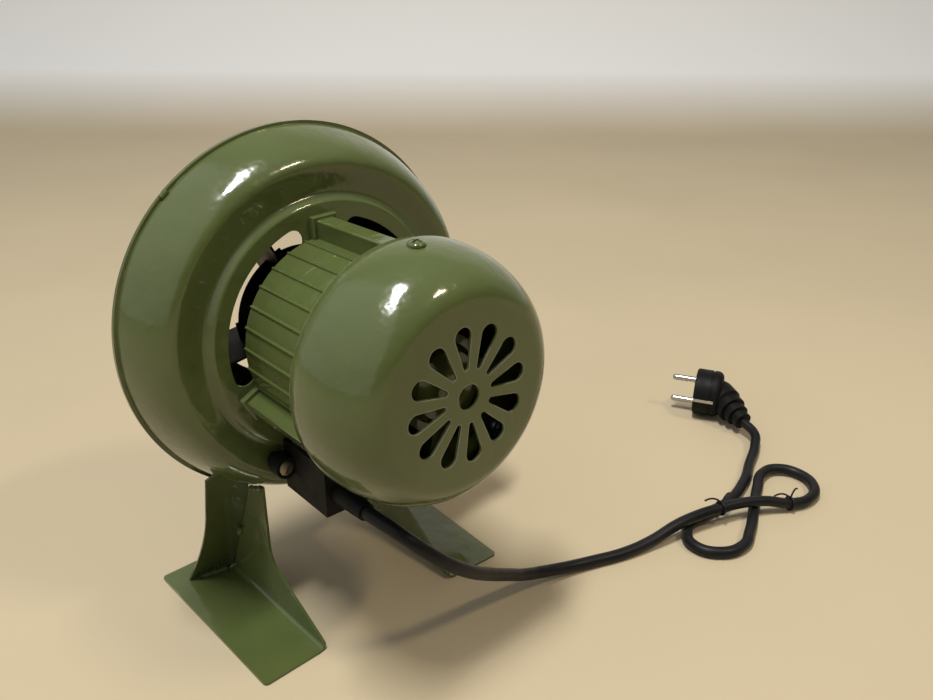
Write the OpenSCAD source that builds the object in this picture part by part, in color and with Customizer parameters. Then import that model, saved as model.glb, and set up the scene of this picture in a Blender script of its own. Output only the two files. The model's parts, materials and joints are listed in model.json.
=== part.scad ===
// Mains-powered centrifugal blower: two pressed casing shells with a tangential outlet pipe,
// a ribbed motor behind the casing under a vented cowl, sheet-metal feet, a terminal box and a cord.
// Every piece is drawn about the shaft (X to the outlet, Y from the cowl to the open inlet, Z up)
// and then set down with the feet on Z = 0 and the middle of the blower over the origin.

/* [Casing] */
// Radius of the seam flange where the two shells meet
rim_r = 100; // [98:0.5:110]
// Width of the flat seam flange
seam_w = 1.5; // [1:0.25:4]
// Thickness of the casing sheet
sheet = 1.2; // [0.8:0.1:1.6]
// Radius of the crest of the bulging ring
crest_r = 82; // [80:0.5:86]
// Depth of the crest from the seam
crest_d = 29; // [27:0.5:32]
// Radius of the valley inside the crest
valley_r = 69.5; // [69:0.5:71]
// Depth of the valley from the seam
valley_d = 26.5; // [25:0.5:28]
// Radius of the raised disc that carries the motor or the inlet eye
disc_r = 64.5; // [62:0.5:65.5]
// Depth of the raised discs from the seam
disc_d = 30; // [28:0.5:34]
// Fullness of the bulge, 2 is elliptical and less is flatter
bulge_power = 1.7; // [1.5:0.1:2.2]

/* [Air openings] */
// Radius of the open inlet eye
eye_r = 42; // [36:0.5:44]
// Radius of the rolled mouth of the inlet eye
eye_roll = 5; // [4:0.5:6]
// Outer radius of the arc slots around the motor
slot_ro = 58; // [56:0.5:60]
// Inner radius of the arc slots around the motor
slot_ri = 47; // [46:0.5:48]
// Angle that each arc slot covers
slot_span = 93; // [70:1:96]

/* [Outlet] */
// Outer radius of the outlet trunk formed by the shells
trunk_r = 30.5; // [30:0.25:33]
// Drop of the outlet axis below the shaft
trunk_drop = 70; // [66:0.5:74]
// Distance from the shaft to the end of the trunk
trunk_end = 100; // [96:1:110]
// Distance from the shaft to the end of the outlet pipe
pipe_end = 118; // [114:1:140]
// Length of outlet pipe held inside the trunk
pipe_grip = 24; // [15:1:30]
// Wall of the outlet pipe
pipe_wall = 1.5; // [1:0.1:2.5]

/* [Stand] */
// Height of the shaft above the floor
shaft_h = 159; // [150:1:180]
// Half of the width over both feet
foot_half_w = 82; // [70:1:95]
// Distance from the middle to the upright of each foot
foot_in = 45; // [40:1:48]
// Reach of the feet behind the seam, under the motor
foot_back = 70.5; // [60:0.5:90]
// Reach of the feet in front of the seam
foot_front = 43; // [36:0.5:60]
// Thickness of the foot sheet
foot_t = 1.5; // [1:0.1:2.5]
// Inner bend radius of the foot sheet
foot_bend = 2.5; // [2:0.5:5]
// Angle by which the feet turn in towards the back
foot_toe = 2.5; // [0:0.5:4]
// Distance from the seam to the back edge of the upright
post_back = 22.5; // [18:0.5:26]
// Radius of the flare at the root of the upright
post_flare = 16; // [10:1:22]
// Reach of the upright in front of the gusset
post_lap = 4; // [3:0.5:6]
// Distance from the seam to the root of the gusset
gusset_y = 22.8; // [20:0.2:26]
// Lean of the gusset plate back under the casing
gusset_lean = 23; // [18:0.5:25]
// Width of the gusset at its neck
gusset_w = 16.5; // [14:0.5:20]

/* [Motor] */
// Outer radius of the motor housing without its ribs
motor_r = 49.5; // [49:0.25:50.5]
// Inner radius of the motor housing
motor_bore = 44; // [43.5:0.25:45]
// Length of the motor housing
motor_len = 82; // [78:0.5:84]
// Angular pitch of the housing ribs
rib_pitch = 12; // [10:1:15]
// Height of the housing ribs
rib_h = 0.9; // [0.5:0.1:1.5]
// Width of the housing ribs
rib_w = 1.3; // [0.8:0.1:2]
// Angle of the first of the three mounting lugs
lug_angle = 93; // [88:1:96]
// Width of the lug bars
lug_w = 9.5; // [8:0.5:12]
// Width of the lug foot pads
pad_w = 14; // [13:0.5:18]
// Outer radius of the lug foot pads
pad_r = 60.2; // [59.5:0.1:62]
// Thickness of the lug foot pads
pad_t = 3.6; // [2:0.1:6]
// Length of the laminated cores
core_len = 38; // [30:1:42]
// Outer radius of the rotor core
rotor_r = 25.5; // [24:0.25:26]
// Air gap between rotor and stator
air_gap = 0.5; // [0.4:0.1:1]
// Number of stator slots
stator_slots = 24; // [12:4:24]

/* [Cowl] */
// Outer radius of the cowl rim
cowl_r = 60.3; // [60:0.1:62]
// Outer radius of the cowl at its widest
cowl_max_r = 61.6; // [61:0.1:63]
// Distance from the seam to the open rim of the cowl
cowl_front = 89; // [84:0.5:94]
// Distance from the seam to the flat end of the cowl
cowl_end = 134; // [130:0.5:142]
// Straight part of the cowl before its shoulder
cowl_skirt = 7; // [5:0.5:9]
// Radius of the flat end of the cowl
cowl_flat_r = 42; // [38:0.5:46]
// Thickness of the cowl sheet
cowl_t = 1.2; // [0.8:0.1:1.6]
// Number of teardrop vents
petals = 12; // [8:1:14]
// Angle of the first vent
petal_angle = 66.5; // [60:0.5:90]
// Distance from the axis to the round end of a vent
petal_out = 28.5; // [26:0.5:31]
// Radius of the round end of a vent
petal_out_r = 4.5; // [3.5:0.1:5]
// Distance from the axis to the point of a vent
petal_in = 14.2; // [13:0.1:16]
// Radius of the point of a vent
petal_in_r = 1.4; // [1:0.1:2]
// Radius of the middle hole of the cowl
hub_hole_r = 5.9; // [4:0.1:8]

/* [Impeller] */
// Tip radius of the blades
tip_r = 86; // [78:0.5:88]
// Inner radius of the blades
root_r = 23; // [22:0.5:26]
// Number of blades
blades = 5; // [4:1:8]
// Angle of the first blade at rest
blade_angle = 46; // [0:1:90]
// Reach of the blades behind the seam
blade_back = 17; // [12:0.5:18]
// Reach of the blades in front of the seam
blade_front = 17; // [12:0.5:18]
// Thickness of the blades
blade_t = 1.2; // [0.8:0.1:2]
// Radius of the plate that carries the blades
plate_hub_r = 37; // [34:0.5:40]

/* [Shaft and bearings] */
// Radius of the shaft in the bearings
shaft_r = 5; // [4.5:0.1:5.4]
// Radius of the shaft between the bearings
shoulder_r = 6.5; // [6.2:0.1:6.8]
// Outer radius of the ball bearings
bearing_r = 15; // [14:0.25:16]
// Width of the ball bearings
bearing_w = 9; // [8:0.5:10]
// Number of balls in a bearing
bearing_balls_n = 8; // [6:1:9]

/* [Terminal box] */
// Half of the width of the terminal box
box_half_w = 37.5; // [32:0.5:42]
// Depth of the box below the shaft
box_bottom = 80; // [76:0.5:84]
// Depth of the top of the box below the shaft
box_top = 52; // [51.5:0.5:54]
// Distance from the seam to the rear face of the box
box_back = 69; // [64:0.5:74]
// Wall of the terminal box
box_wall = 2; // [1.5:0.1:3]
// Radius of the screw ears
ear_r = 8.4; // [7:0.1:9]
// Distance from the seam to the outer face of the ears
ear_back = 40; // [38:0.5:44]
// Radius of the motor capacitor
cap_r = 11; // [8:0.5:12]
// Length of the motor capacitor
cap_len = 32; // [24:1:40]

/* [Cord and plug] */
// Radius of the power cord
cord_r = 3.5; // [3:0.25:4]
// Radius of the plug face
plug_r = 18.5; // [17.5:0.25:18.5]
// Length of the plug pins
pin_len = 19; // [17:0.5:20]
// Radius of the plug pins
pin_r = 2.4; // [2:0.1:2.4]
// Distance between the plug pins
pin_pitch = 19; // [18:0.5:20]

/* [Hidden] */
$fn = 96;

// Colours
paint_green = "#56683a";
dark_green = "#3c4a29";
black_paint = "#1a1a1a";
black_plastic = "#202022";
steel = "#b9bcc0";
lamination = "#7c8087";
copper = "#b5733c";
aluminium = "#c4c7ca";
brass = "#b08a4a";
cream = "#d8d5c8";

// Clearances
slip = 0.05;
seat_gap = 0.25;
run_gap = 0.3;
past = 1;
screw_clear = 0.2;

// Worked-out sizes of the casing
body_r = rim_r - seam_w;
bulge_steps = 12;
curve_steps = 7;
trunk_start = -50;
trunk_start_r = 12;
trunk_full_x = 5;
trunk_lip = 3;
shaft_hole_r = 22;

// Worked-out places along the shaft
motor_front = -disc_d;
motor_back = motor_front - motor_len;
shoulder_y = motor_front - 4;
nose_y = motor_front - 1;
front_bearing_y = nose_y - 5;
core_front = motor_front - 24;
core_back = core_front - core_len;
spigot_len = 4;
rear_seat_y = motor_back + 12;
rear_bearing_end = rear_seat_y - bearing_w;
washer_t = 1;
endshield_t = 4;
race_in_r = shaft_r + 2;
race_out_r = bearing_r - 2.6;
ball_r = (race_out_r - race_in_r) / 2 - 0.1;
stator_in_r = rotor_r + air_gap;
stator_slot_w = 3.4;
stator_slot_r = 36;
hub_r = 12;
hub_flange_r = 20;
hub_flange_t = 3;
hub_back = 12;
hub_front = 6;
plate_t = 1.5;
nut_washer_t = 1.2;
nut_h = 6;
thread_r = shaft_r - 1;
bearing_hub_r = bearing_r + 4;
shaft_pass_r = shaft_r + 3;

// Worked-out places of the lugs and screws
lugs = 3;
lug_turns = [lug_angle, lug_angle + 116, lug_angle + 238];
slot_angle = lug_angle + 59;
lug_r = cowl_r - cowl_t - 0.6;
lug_root_r = motor_r - 1;
lug_screw_r = (slot_ri + slot_ro) / 2 + 1.5;
head_share = 1.8;
motor_screw_r = 2;
motor_grip = 9;
tap_spare = 2;
cowl_screw_r = 2.2;
cowl_screw_y = -cowl_front - 15;
cowl_grip = 5;
shield_screw_r = 1.5;
shield_grip = 6;
shield_screw_turns = [45, 135, 225, 315];
shield_ring_r = (motor_bore + motor_r) / 2;
motor_mouth_r = motor_bore - 4;

// Worked-out places in the terminal box
ear_x = box_half_w + 1.5;
ear_z = -(box_top + 11.5);
ear_screw_r = 2;
ear_sink = 3;
ear_sink_r = 4.4;
ear_boss_r = 4.2;
ear_grip = 4;
block_x = 4;
block_w = 24;
block_d = 10;
block_h = 9;
block_ways = 3;
block_hole_r = 2;
cap_x = 6;
cap_edge = 1;
gland_in = 11;
gland_up = 11;
gland_len = 22;
gland_x = gland_in - box_half_w;
gland_z = gland_up - box_bottom;
gland_end = box_back + gland_len;
gland_neck_r = cord_r + 1;
gland_root_r = cord_r + 2.2;
gland_thread = 5;
gland_nut_r = gland_neck_r + 2;
gland_nut_t = 4;

// Worked-out sizes of the impeller rivets
rivet_r = 1.5;
rivet_head_r = 2.6;
rivet_head = 1;
hub_rivets_n = 6;
hub_rivet_turn = 30;
hub_rivet_r = (hub_r + hub_flange_r) / 2;
blade_tab = 9;
blade_step = 0.8;
blade_rivet_z = -5.5;
blade_rivet_edge = 3.5;

// Worked-out sizes of the stand
flare_angle = 27;
toe_h = 6;
foot_corner_r = 2.5;
post_gap = 4.5;
post_reach = 0.7 * rim_r;
gusset_turn = 12.5;
gusset_cut = 4;
neck_h = 60;
neck_r = 190;
neck_top = shaft_h - rim_r / 2 - gusset_cut;
bend_clear = (foot_bend + seat_gap) * sqrt(2);

// Middle of the blower in the shaft frame
mid_x = (pipe_end - rim_r) / 2;
mid_y = (foot_front - cowl_end) / 2;

// Cord route on the floor frame, chosen by eye
cord_route = [
    [-35.5, -45.5, 90], [-35, -54, 90], [-33, -62, 88.5], [-28.5, -69, 83.5], [-21.5, -74, 76],
    [-12, -76.5, 66.5], [1, -76.5, 55], [20, -72, 40], [41, -66.5, 25], [56, -64, 15.5], [70, -63.5, 9.5],
    [87, -66.5, 5.5], [107, -73, 4], [127, -80, 3.8], [148, -85, 5.6], [167, -89, 10.2], [185, -93, 11.5],
    [202, -98, 11.5], [218, -104, 11.5], [234, -112, 9.8], [249, -121, 6], [266, -126, 4.2],
    [283, -121, 4.2], [291, -106, 4.2], [284, -92, 5], [269, -89, 5], [254, -95, 4.2], [229, -107, 3.8],
    [204, -119, 3.8], [188, -124, 3.8], [172, -119, 3.8], [165, -105, 3.8], [173, -93, 3.8],
    [190, -89, 3.8], [222, -91.5, 3.8], [253, -85, 3.8], [278, -74.5, 3.8], [301, -65, 5.5], [313, -57, 8],
    [318, -44, 11]
];
cord_sides = 8;
tie_places = [17, 20];
tie_wire_r = 0.7;

// Plug, with its pins one above the other
plug_face = [322, 3.5, 19];
plug_turn = 117;
plug_len = 21;
handle_start = [330, -13, 19];
handle_end = cord_route[len(cord_route) - 1];
handle_r0 = 12.5;
handle_r1 = 7.5;
clip_w = 7;
clip_t = 1;
clip_len = 16;
pin_root = 8;
plug_round = 5;
plug_edge = 1;

// Helpers that place a shape
module placed() { translate([-mid_x, -mid_y, shaft_h]) children(); }
module along_y(y) { translate([0, y, 0]) rotate([-90, 0, 0]) children(); }
module around(angle) { rotate([0, -angle, 0]) children(); }
module turned(profile) { rotate([-90, 0, 0]) rotate_extrude() polygon(profile); }
module turned_x(profile) { rotate([0, 90, 0]) rotate_extrude() polygon(profile); }
module plate_y(y, t) { translate([0, y, 0]) rotate([90, 0, 0]) linear_extrude(t) children(); }
module rod(r, y0, y1) { along_y(y0) cylinder(r = r, h = y1 - y0); }
module tube(r0, r1, y0, y1) { turned([[r0, y0], [r1, y0], [r1, y1], [r0, y1]]); }
module block(low, high) { translate(low) cube(high - low); }

// Helpers that make a profile
function arc(c, r, a0, a1, n) = [for (i = [0:n]) let (a = a0 + (a1 - a0) * i / n) c + r * [cos(a), sin(a)]];
function backwards(list) = [for (i = [len(list) - 1:-1:0]) list[i]];
function ease(a, b, n) =
    [for (i = [1:n]) [a[0] + (b[0] - a[0]) * i / n, a[1] + (b[1] - a[1]) * (1 - cos(180 * i / n)) / 2]];
function unit(v) = v / norm(v);
function run_at(path, i) = unit(path[min(i + 1, len(path) - 1)] - path[max(i - 1, 0)]);
function inset(path, d) =
    [for (i = [0:len(path) - 1]) let (t = run_at(path, i)) path[i] - d * [t[1], -t[0]]];
function facing(path, side) = [for (p = path) [p[0], side * p[1]]];

// Section of a shell from its seam flange inwards, as radius and depth
function bulge() =
    [for (i = [0:bulge_steps]) let (t = 90 * i / bulge_steps)
        [crest_r + (body_r - crest_r) * pow(cos(t), 2 / bulge_power),
         sheet + (crest_d - sheet) * pow(sin(t), 2 / bulge_power)]];
rear_path = concat(
    bulge(),
    ease([crest_r, crest_d], [valley_r, valley_d], curve_steps),
    ease([valley_r, valley_d], [disc_r, disc_d], curve_steps));
eye_end = disc_d - eye_roll;
front_path = concat(rear_path, arc([eye_r + eye_roll, eye_end], eye_roll, 90, 180, curve_steps));

// Section of the outlet trunk as radius and distance along X
function trunk_section(grow, more) = [
    [0, trunk_start - grow], [trunk_start_r + grow, trunk_start - grow], [trunk_r + grow, trunk_full_x],
    [trunk_r + grow, trunk_end + more], [0, trunk_end + more]];
module trunk(grow, more) { translate([0, 0, -trunk_drop]) turned_x(trunk_section(grow, more)); }

// Solid of one shell, its hollow, and both shells grown by a gap for cutting what stands by them
module shell_solid(path, side, cap) {
    last = len(path) - 1;
    most = [for (i = [0:last - 1]) path[i]];
    turned(facing(concat([[0, 0], [body_r, 0]], most, [[path[last][0], cap], [0, cap]]), side));
}
module shell_hollow(path, side) {
    inner = inset(path, sheet);
    middle = [0, inner[len(inner) - 1][1]];
    turned(facing(concat([[0, -past], [body_r - sheet, -past]], inner, [middle]), side));
}
module seam_flange(grow) {
    circle(r = rim_r + grow);
    translate([0, -trunk_drop - trunk_r - trunk_lip - grow])
        square([trunk_end, 2 * (trunk_r + trunk_lip + grow)]);
}
module half_trunk(side) {
    difference() {
        trunk(0, 0);
        block([trunk_start - past, min(0, -side * rim_r), -rim_r - trunk_r],
              [trunk_end + past, max(0, -side * rim_r), 0]);
    }
}
module grown_casing(path, cap, gap) {
    for (side = [-1, 1]) shell_solid(path, side, cap);
    plate_y(sheet + gap, 2 * (sheet + gap)) seam_flange(gap);
    trunk(gap, 0);
}
module casing_envelope(gap) { grown_casing(inset(rear_path, -gap), disc_d + gap, gap); }
module dome_envelope(gap) { grown_casing(inset(bulge(), -gap), crest_d + gap, gap); }
module shell(path, side, cap) {
    difference() {
        union() {
            shell_solid(path, side, cap);
            half_trunk(side);
            plate_y(side > 0 ? sheet : 0, sheet) seam_flange(0);
        }
        shell_hollow(path, side);
        trunk(-sheet, past);
    }
}

// Arc slot with round ends, drawn about its own middle
module arc_slot() {
    mid_r = (slot_ro + slot_ri) / 2;
    half_w = (slot_ro - slot_ri) / 2;
    reach = slot_span / 2 - half_w / mid_r * 180 / PI;
    polygon(concat(
        arc([0, 0], slot_ro, -reach, reach, 24),
        arc(mid_r * [cos(reach), sin(reach)], half_w, reach, reach + 180, 8),
        arc([0, 0], slot_ri, reach, -reach, 24),
        arc(mid_r * [cos(reach), -sin(reach)], half_w, 180 - reach, 360 - reach, 8)));
}

// Casing
module rear_casing() {
    color(paint_green) placed() difference() {
        shell(rear_path, -1, disc_d);
        rod(shaft_hole_r, -disc_d - past, 0);
        for (i = [0:lugs - 1]) {
            plate_y(0, disc_d + past) rotate(slot_angle + i * 360 / lugs) arc_slot();
            around(lug_turns[i]) translate([lug_screw_r, 0, 0])
                rod(motor_screw_r + screw_clear, -disc_d - past, -disc_d + sheet + past);
        }
        for (side = [-1, 1])
            translate([side * ear_x, 0, ear_z]) rod(ear_screw_r + screw_clear, -trunk_r - past, -past);
    }
}
module front_casing() {
    color(paint_green) placed() shell(front_path, 1, eye_end - past);
}
module outlet_pipe() {
    r = trunk_r - sheet - slip;
    spigot_r = trunk_r - 0.5;
    chamfer = 0.5;
    color(paint_green) placed() translate([0, 0, -trunk_drop]) turned_x([
        [r - pipe_wall, trunk_end - pipe_grip], [r, trunk_end - pipe_grip], [r, trunk_end],
        [spigot_r, trunk_end], [spigot_r, pipe_end - chamfer], [spigot_r - chamfer, pipe_end],
        [r - pipe_wall, pipe_end]]);
}

// Stand, each foot bent from one sheet and turned about the middle of its upright
module toed(side) {
    mirror([side > 0 ? 0 : 1, 0, 0]) translate([foot_in, 0, -shaft_h]) rotate([0, 0, -foot_toe])
        translate([-foot_in, 0, 0]) children();
}
function lean_y(z) = gusset_y - (z - foot_t) * tan(gusset_lean);
module foot_side_view() {
    c = [-post_back - post_flare,
         toe_h + (foot_back - post_back - post_flare) * tan(flare_angle) + post_flare / cos(flare_angle)];
    top = shaft_h - post_reach;
    top_front = max(lean_y(top), -post_back) + post_lap;
    polygon(concat(
        [[-foot_back, 0], [-foot_back, toe_h]], arc(c, post_flare, flare_angle - 90, 0, curve_steps),
        [[-post_back, top], [top_front, top], [gusset_y + post_lap, foot_t],
         [foot_front, foot_t], [foot_front, 0]]));
}
module foot_section() {
    r = foot_bend + foot_t;
    square_x = foot_in + r;
    translate([square_x, 0]) square([foot_half_w - square_x, foot_t]);
    translate([foot_in, r]) square([foot_t, shaft_h - r]);
    translate([square_x, r]) intersection() {
        difference() {
            circle(r = r);
            circle(r = foot_bend);
        }
        translate([-2 * r, -2 * r]) square(2 * r);
    }
}
module corner_cut(x, y, sx, sy, r) {
    translate([x, y]) scale([sx, sy]) difference() {
        translate([-past, -past]) square(r + past);
        translate([r, r]) circle(r = r);
    }
}
module foot(side) {
    color(paint_green) placed() difference() {
        toed(side) difference() {
            intersection() {
                translate([0, foot_front, 0]) rotate([90, 0, 0])
                    linear_extrude(foot_back + foot_front) foot_section();
                rotate([90, 0, 90]) linear_extrude(foot_half_w + past) foot_side_view();
            }
            translate([0, 0, -past]) linear_extrude(foot_t + 2 * past) {
                corner_cut(foot_half_w, -foot_back, -1, 1, foot_corner_r);
                corner_cut(foot_half_w, foot_front, -1, -1, foot_corner_r);
            }
            rotate([90, 0, 90]) linear_extrude(foot_in + foot_t + foot_bend)
                corner_cut(-foot_back, toe_h, 1, -1, toe_h - foot_t);
        }
        dome_envelope(post_gap);
    }
}
module left_foot() { foot(-1); }
module right_foot() { foot(1); }

// Gusset, a leaning plate that ties the upright and the base to the casing
module gusset_outline() {
    sweep = asin(neck_h / neck_r);
    polygon(concat(
        [[-gusset_w, neck_top], [gusset_w - gusset_cut, neck_top], [gusset_w, neck_top - gusset_cut]],
        arc([gusset_w + neck_r, neck_h], neck_r, 180, 180 + sweep, curve_steps),
        [[gusset_w + neck_r * (1 - cos(sweep)), -foot_t], [-gusset_w, -foot_t]]));
}
module gusset(side) {
    face_x = foot_in + foot_t + slip;
    far = shaft_h;
    color(dark_green) placed() difference() {
        toed(side) difference() {
            translate([face_x, gusset_y, foot_t]) rotate([0, 0, gusset_turn]) rotate([90 + gusset_lean, 0, 0])
                linear_extrude(foot_t) gusset_outline();
            block([face_x - far, -far, -far], [face_x, far, far]);
            block([0, -far, -far], [far, far, foot_t + slip]);
            translate([face_x, 0, foot_t]) rotate([90, 45, 0])
                cube([bend_clear, bend_clear, 2 * far], center = true);
        }
        casing_envelope(seat_gap);
    }
}
module left_gusset() { gusset(-1); }
module right_gusset() { gusset(1); }

// Motor housing with ribs, three lug bars and their foot pads
module lug(i) {
    around(lug_turns[i]) {
        block([lug_root_r, motor_back - past, -lug_w / 2], [lug_r, motor_front + past, lug_w / 2]);
        block([lug_root_r, motor_front - pad_t, -pad_w / 2], [pad_r, motor_front + past, pad_w / 2]);
    }
}
module motor_housing() {
    ribs = round(360 / rib_pitch);
    color(paint_green) placed() difference() {
        intersection() {
            union() {
                rod(motor_r, motor_back - past, motor_front + past);
                for (i = [0:lugs - 1]) lug(i);
                for (i = [0:ribs - 1])
                    if (i % round(ribs / lugs) != 0)
                        around(lug_angle + i * 360 / ribs)
                            block([lug_root_r, motor_back - past, -rib_w / 2],
                                  [motor_r + rib_h, motor_front + past, rib_w / 2]);
            }
            block([-rim_r, motor_back, -rim_r], [rim_r, motor_front, rim_r]);
        }
        rod(motor_bore, motor_back - past, shoulder_y);
        rod(motor_mouth_r, shoulder_y - past, motor_front + past);
        for (i = [0:lugs - 1]) around(lug_turns[i]) translate([lug_screw_r, 0, 0])
            rod(motor_screw_r + slip, motor_front - motor_grip - tap_spare, motor_front + past);
        for (i = [0:lugs - 1]) around(lug_turns[i])
            translate([lug_r - cowl_grip - tap_spare, cowl_screw_y, 0]) rotate([0, 90, 0])
                cylinder(r = cowl_screw_r + slip, h = cowl_grip + tap_spare + past);
        for (a = shield_screw_turns) around(a) translate([shield_ring_r, 0, 0])
            rod(shield_screw_r + slip, motor_back - past, motor_back + shield_grip + tap_spare);
    }
}

// Bearing carriers
module vents(n, r0, r1, share, y, t) {
    for (i = [0:n - 1]) plate_y(y, t) rotate((i + 0.5) * 360 / n) polygon(concat(
        arc([0, 0], r1, -share * 180 / n, share * 180 / n, 10),
        arc([0, 0], r0, share * 180 / n, -share * 180 / n, 10)));
}
module front_endshield() {
    seat_end = front_bearing_y - bearing_w - 1;
    color(aluminium) placed() difference() {
        turned([[shaft_pass_r, nose_y], [bearing_hub_r, nose_y], [bearing_hub_r, shoulder_y],
                [motor_bore - slip, shoulder_y], [motor_bore - slip, shoulder_y - endshield_t],
                [bearing_hub_r, shoulder_y - endshield_t], [bearing_hub_r, seat_end],
                [bearing_r + slip, seat_end], [bearing_r + slip, front_bearing_y],
                [shaft_pass_r, front_bearing_y]]);
        vents(6, bearing_hub_r + 3, motor_bore - 5, 0.7, shoulder_y + past, endshield_t + 2 * past);
    }
}
module rear_endshield() {
    cup_y = rear_bearing_end - washer_t;
    cap_y = motor_back - endshield_t - 3;
    color(dark_green) placed() difference() {
        turned([[0, cap_y], [bearing_hub_r - 3, cap_y], [bearing_hub_r, cap_y + 3],
                [bearing_hub_r, motor_back - endshield_t], [motor_r, motor_back - endshield_t],
                [motor_r, motor_back], [motor_bore - slip, motor_back],
                [motor_bore - slip, motor_back + spigot_len],
                [motor_mouth_r, motor_back + spigot_len], [motor_mouth_r, motor_back],
                [bearing_hub_r, motor_back], [bearing_hub_r, rear_seat_y], [bearing_r + slip, rear_seat_y],
                [bearing_r + slip, cup_y], [0, cup_y]]);
        vents(4, bearing_hub_r + 4, motor_bore - 6, 0.72, motor_back + past, endshield_t + 2 * past);
        for (a = shield_screw_turns) around(a) translate([shield_ring_r, 0, 0])
            rod(shield_screw_r + screw_clear, motor_back - endshield_t - past, motor_back + past);
    }
}

// Pan-head screw standing on Z = 0 with its shank below, and the turns of its driving slots
module screw(r, length, slots) {
    head_r = head_share * r;
    head_h = 0.6 * head_r;
    edge_h = 0.35 * head_h;
    crown_r = 0.4 * head_r;
    slot_w = 0.22 * head_r;
    difference() {
        rotate_extrude() polygon(concat(
            [[0, -length], [r, -length], [r, 0], [head_r, 0]],
            arc([head_r - crown_r, edge_h], crown_r, 0, 60, 4),
            [[head_r - crown_r, head_h], [0, head_h]]));
        for (a = slots) rotate(a) translate([0, 0, head_h])
            cube([head_r + slot_w, slot_w, head_h], center = true);
    }
}
cross_slots = [0, 90];
module endshield_screws() {
    color(steel) placed() for (a = shield_screw_turns) around(a)
        translate([shield_ring_r, motor_back - endshield_t, 0]) rotate([90, 0, 0])
            screw(shield_screw_r, endshield_t + shield_grip, cross_slots);
}
module motor_screws() {
    color(steel) placed() for (i = [0:lugs - 1]) around(lug_turns[i])
        translate([lug_screw_r, -disc_d + sheet, 0]) rotate([-90, 0, 0])
            screw(motor_screw_r, sheet + motor_grip, cross_slots);
}

// Stator and rotor
module stator_core() {
    color(lamination) placed() difference() {
        tube(stator_in_r, motor_bore - slip, core_back, core_front);
        for (i = [0:stator_slots - 1]) around(i * 360 / stator_slots)
            block([stator_in_r - past, core_back - past, -stator_slot_w / 2],
                  [stator_slot_r, core_front + past, stator_slot_w / 2]);
    }
}
module stator_windings() {
    coil_in = stator_in_r + 2.5;
    coil_out = stator_slot_r + 5;
    coil_len = 10;
    chamfer = 3;
    color(copper) placed() {
        for (side = [-1, 1]) {
            near = (side > 0 ? core_front : -core_back) + run_gap;
            end = near + coil_len;
            turned(facing([[coil_in, near], [coil_out, near], [coil_out, end - chamfer],
                           [coil_out - chamfer, end], [coil_in + chamfer, end],
                           [coil_in, end - chamfer]], side));
        }
        for (i = [0:stator_slots - 1]) around(i * 360 / stator_slots)
            block([coil_in + 0.5, core_back - 1, -stator_slot_w / 2 + 0.2],
                  [stator_slot_r - 0.4, core_front + 1, stator_slot_w / 2 - 0.2]);
    }
}
module rotor_core() {
    color(lamination) placed() tube(shoulder_r + slip, rotor_r, core_back, core_front);
}
module rotor_rings() {
    color(aluminium) placed() {
        tube(rotor_r - 12, rotor_r - 1, core_front, core_front + 5);
        tube(rotor_r - 12, rotor_r - 1, core_back - 5, core_back);
    }
}
module shaft() {
    chamfer = 0.5;
    end_y = rear_bearing_end - washer_t + chamfer;
    seat_y = front_bearing_y - bearing_w;
    color(steel) placed() turned([
        [0, end_y], [shaft_r - chamfer, end_y], [shaft_r, end_y + chamfer], [shaft_r, rear_seat_y],
        [shoulder_r, rear_seat_y], [shoulder_r, seat_y], [shaft_r, seat_y], [shaft_r, hub_front - chamfer],
        [thread_r, hub_front - chamfer],
        [thread_r, hub_front + nut_washer_t + nut_h + 2], [0, hub_front + nut_washer_t + nut_h + 2]]);
}

// Ball bearings, each with an outer race and two shields around an inner race
module outer_race(y) {
    shield = 0.6;
    lip = race_in_r + run_gap;
    turned([for (p = [[bearing_r, 0], [bearing_r, bearing_w], [lip, bearing_w], [lip, bearing_w - shield],
                      [race_out_r, bearing_w - shield], [race_out_r, shield], [lip, shield], [lip, 0]])
            [p[0], y + p[1]]]);
}
module front_bearing() { color(steel) placed() outer_race(front_bearing_y - bearing_w); }
module rear_bearing() { color(steel) placed() outer_race(rear_bearing_end); }
module front_inner_race() {
    color(steel) placed() tube(shaft_r + slip, race_in_r, front_bearing_y - bearing_w, front_bearing_y);
}
module rear_inner_race() {
    color(steel) placed() tube(shaft_r + slip, race_in_r, rear_bearing_end, rear_seat_y);
}
module bearing_balls() {
    color(steel) placed() for (y = [front_bearing_y - bearing_w / 2, rear_bearing_end + bearing_w / 2])
        for (i = [0:bearing_balls_n - 1]) around(i * 360 / bearing_balls_n)
            translate([(race_in_r + race_out_r) / 2, y, 0]) sphere(r = ball_r);
}
module preload_washer() {
    color(steel) placed()
        tube(race_out_r - 2, bearing_r - run_gap, rear_bearing_end - washer_t, rear_bearing_end);
}

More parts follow.
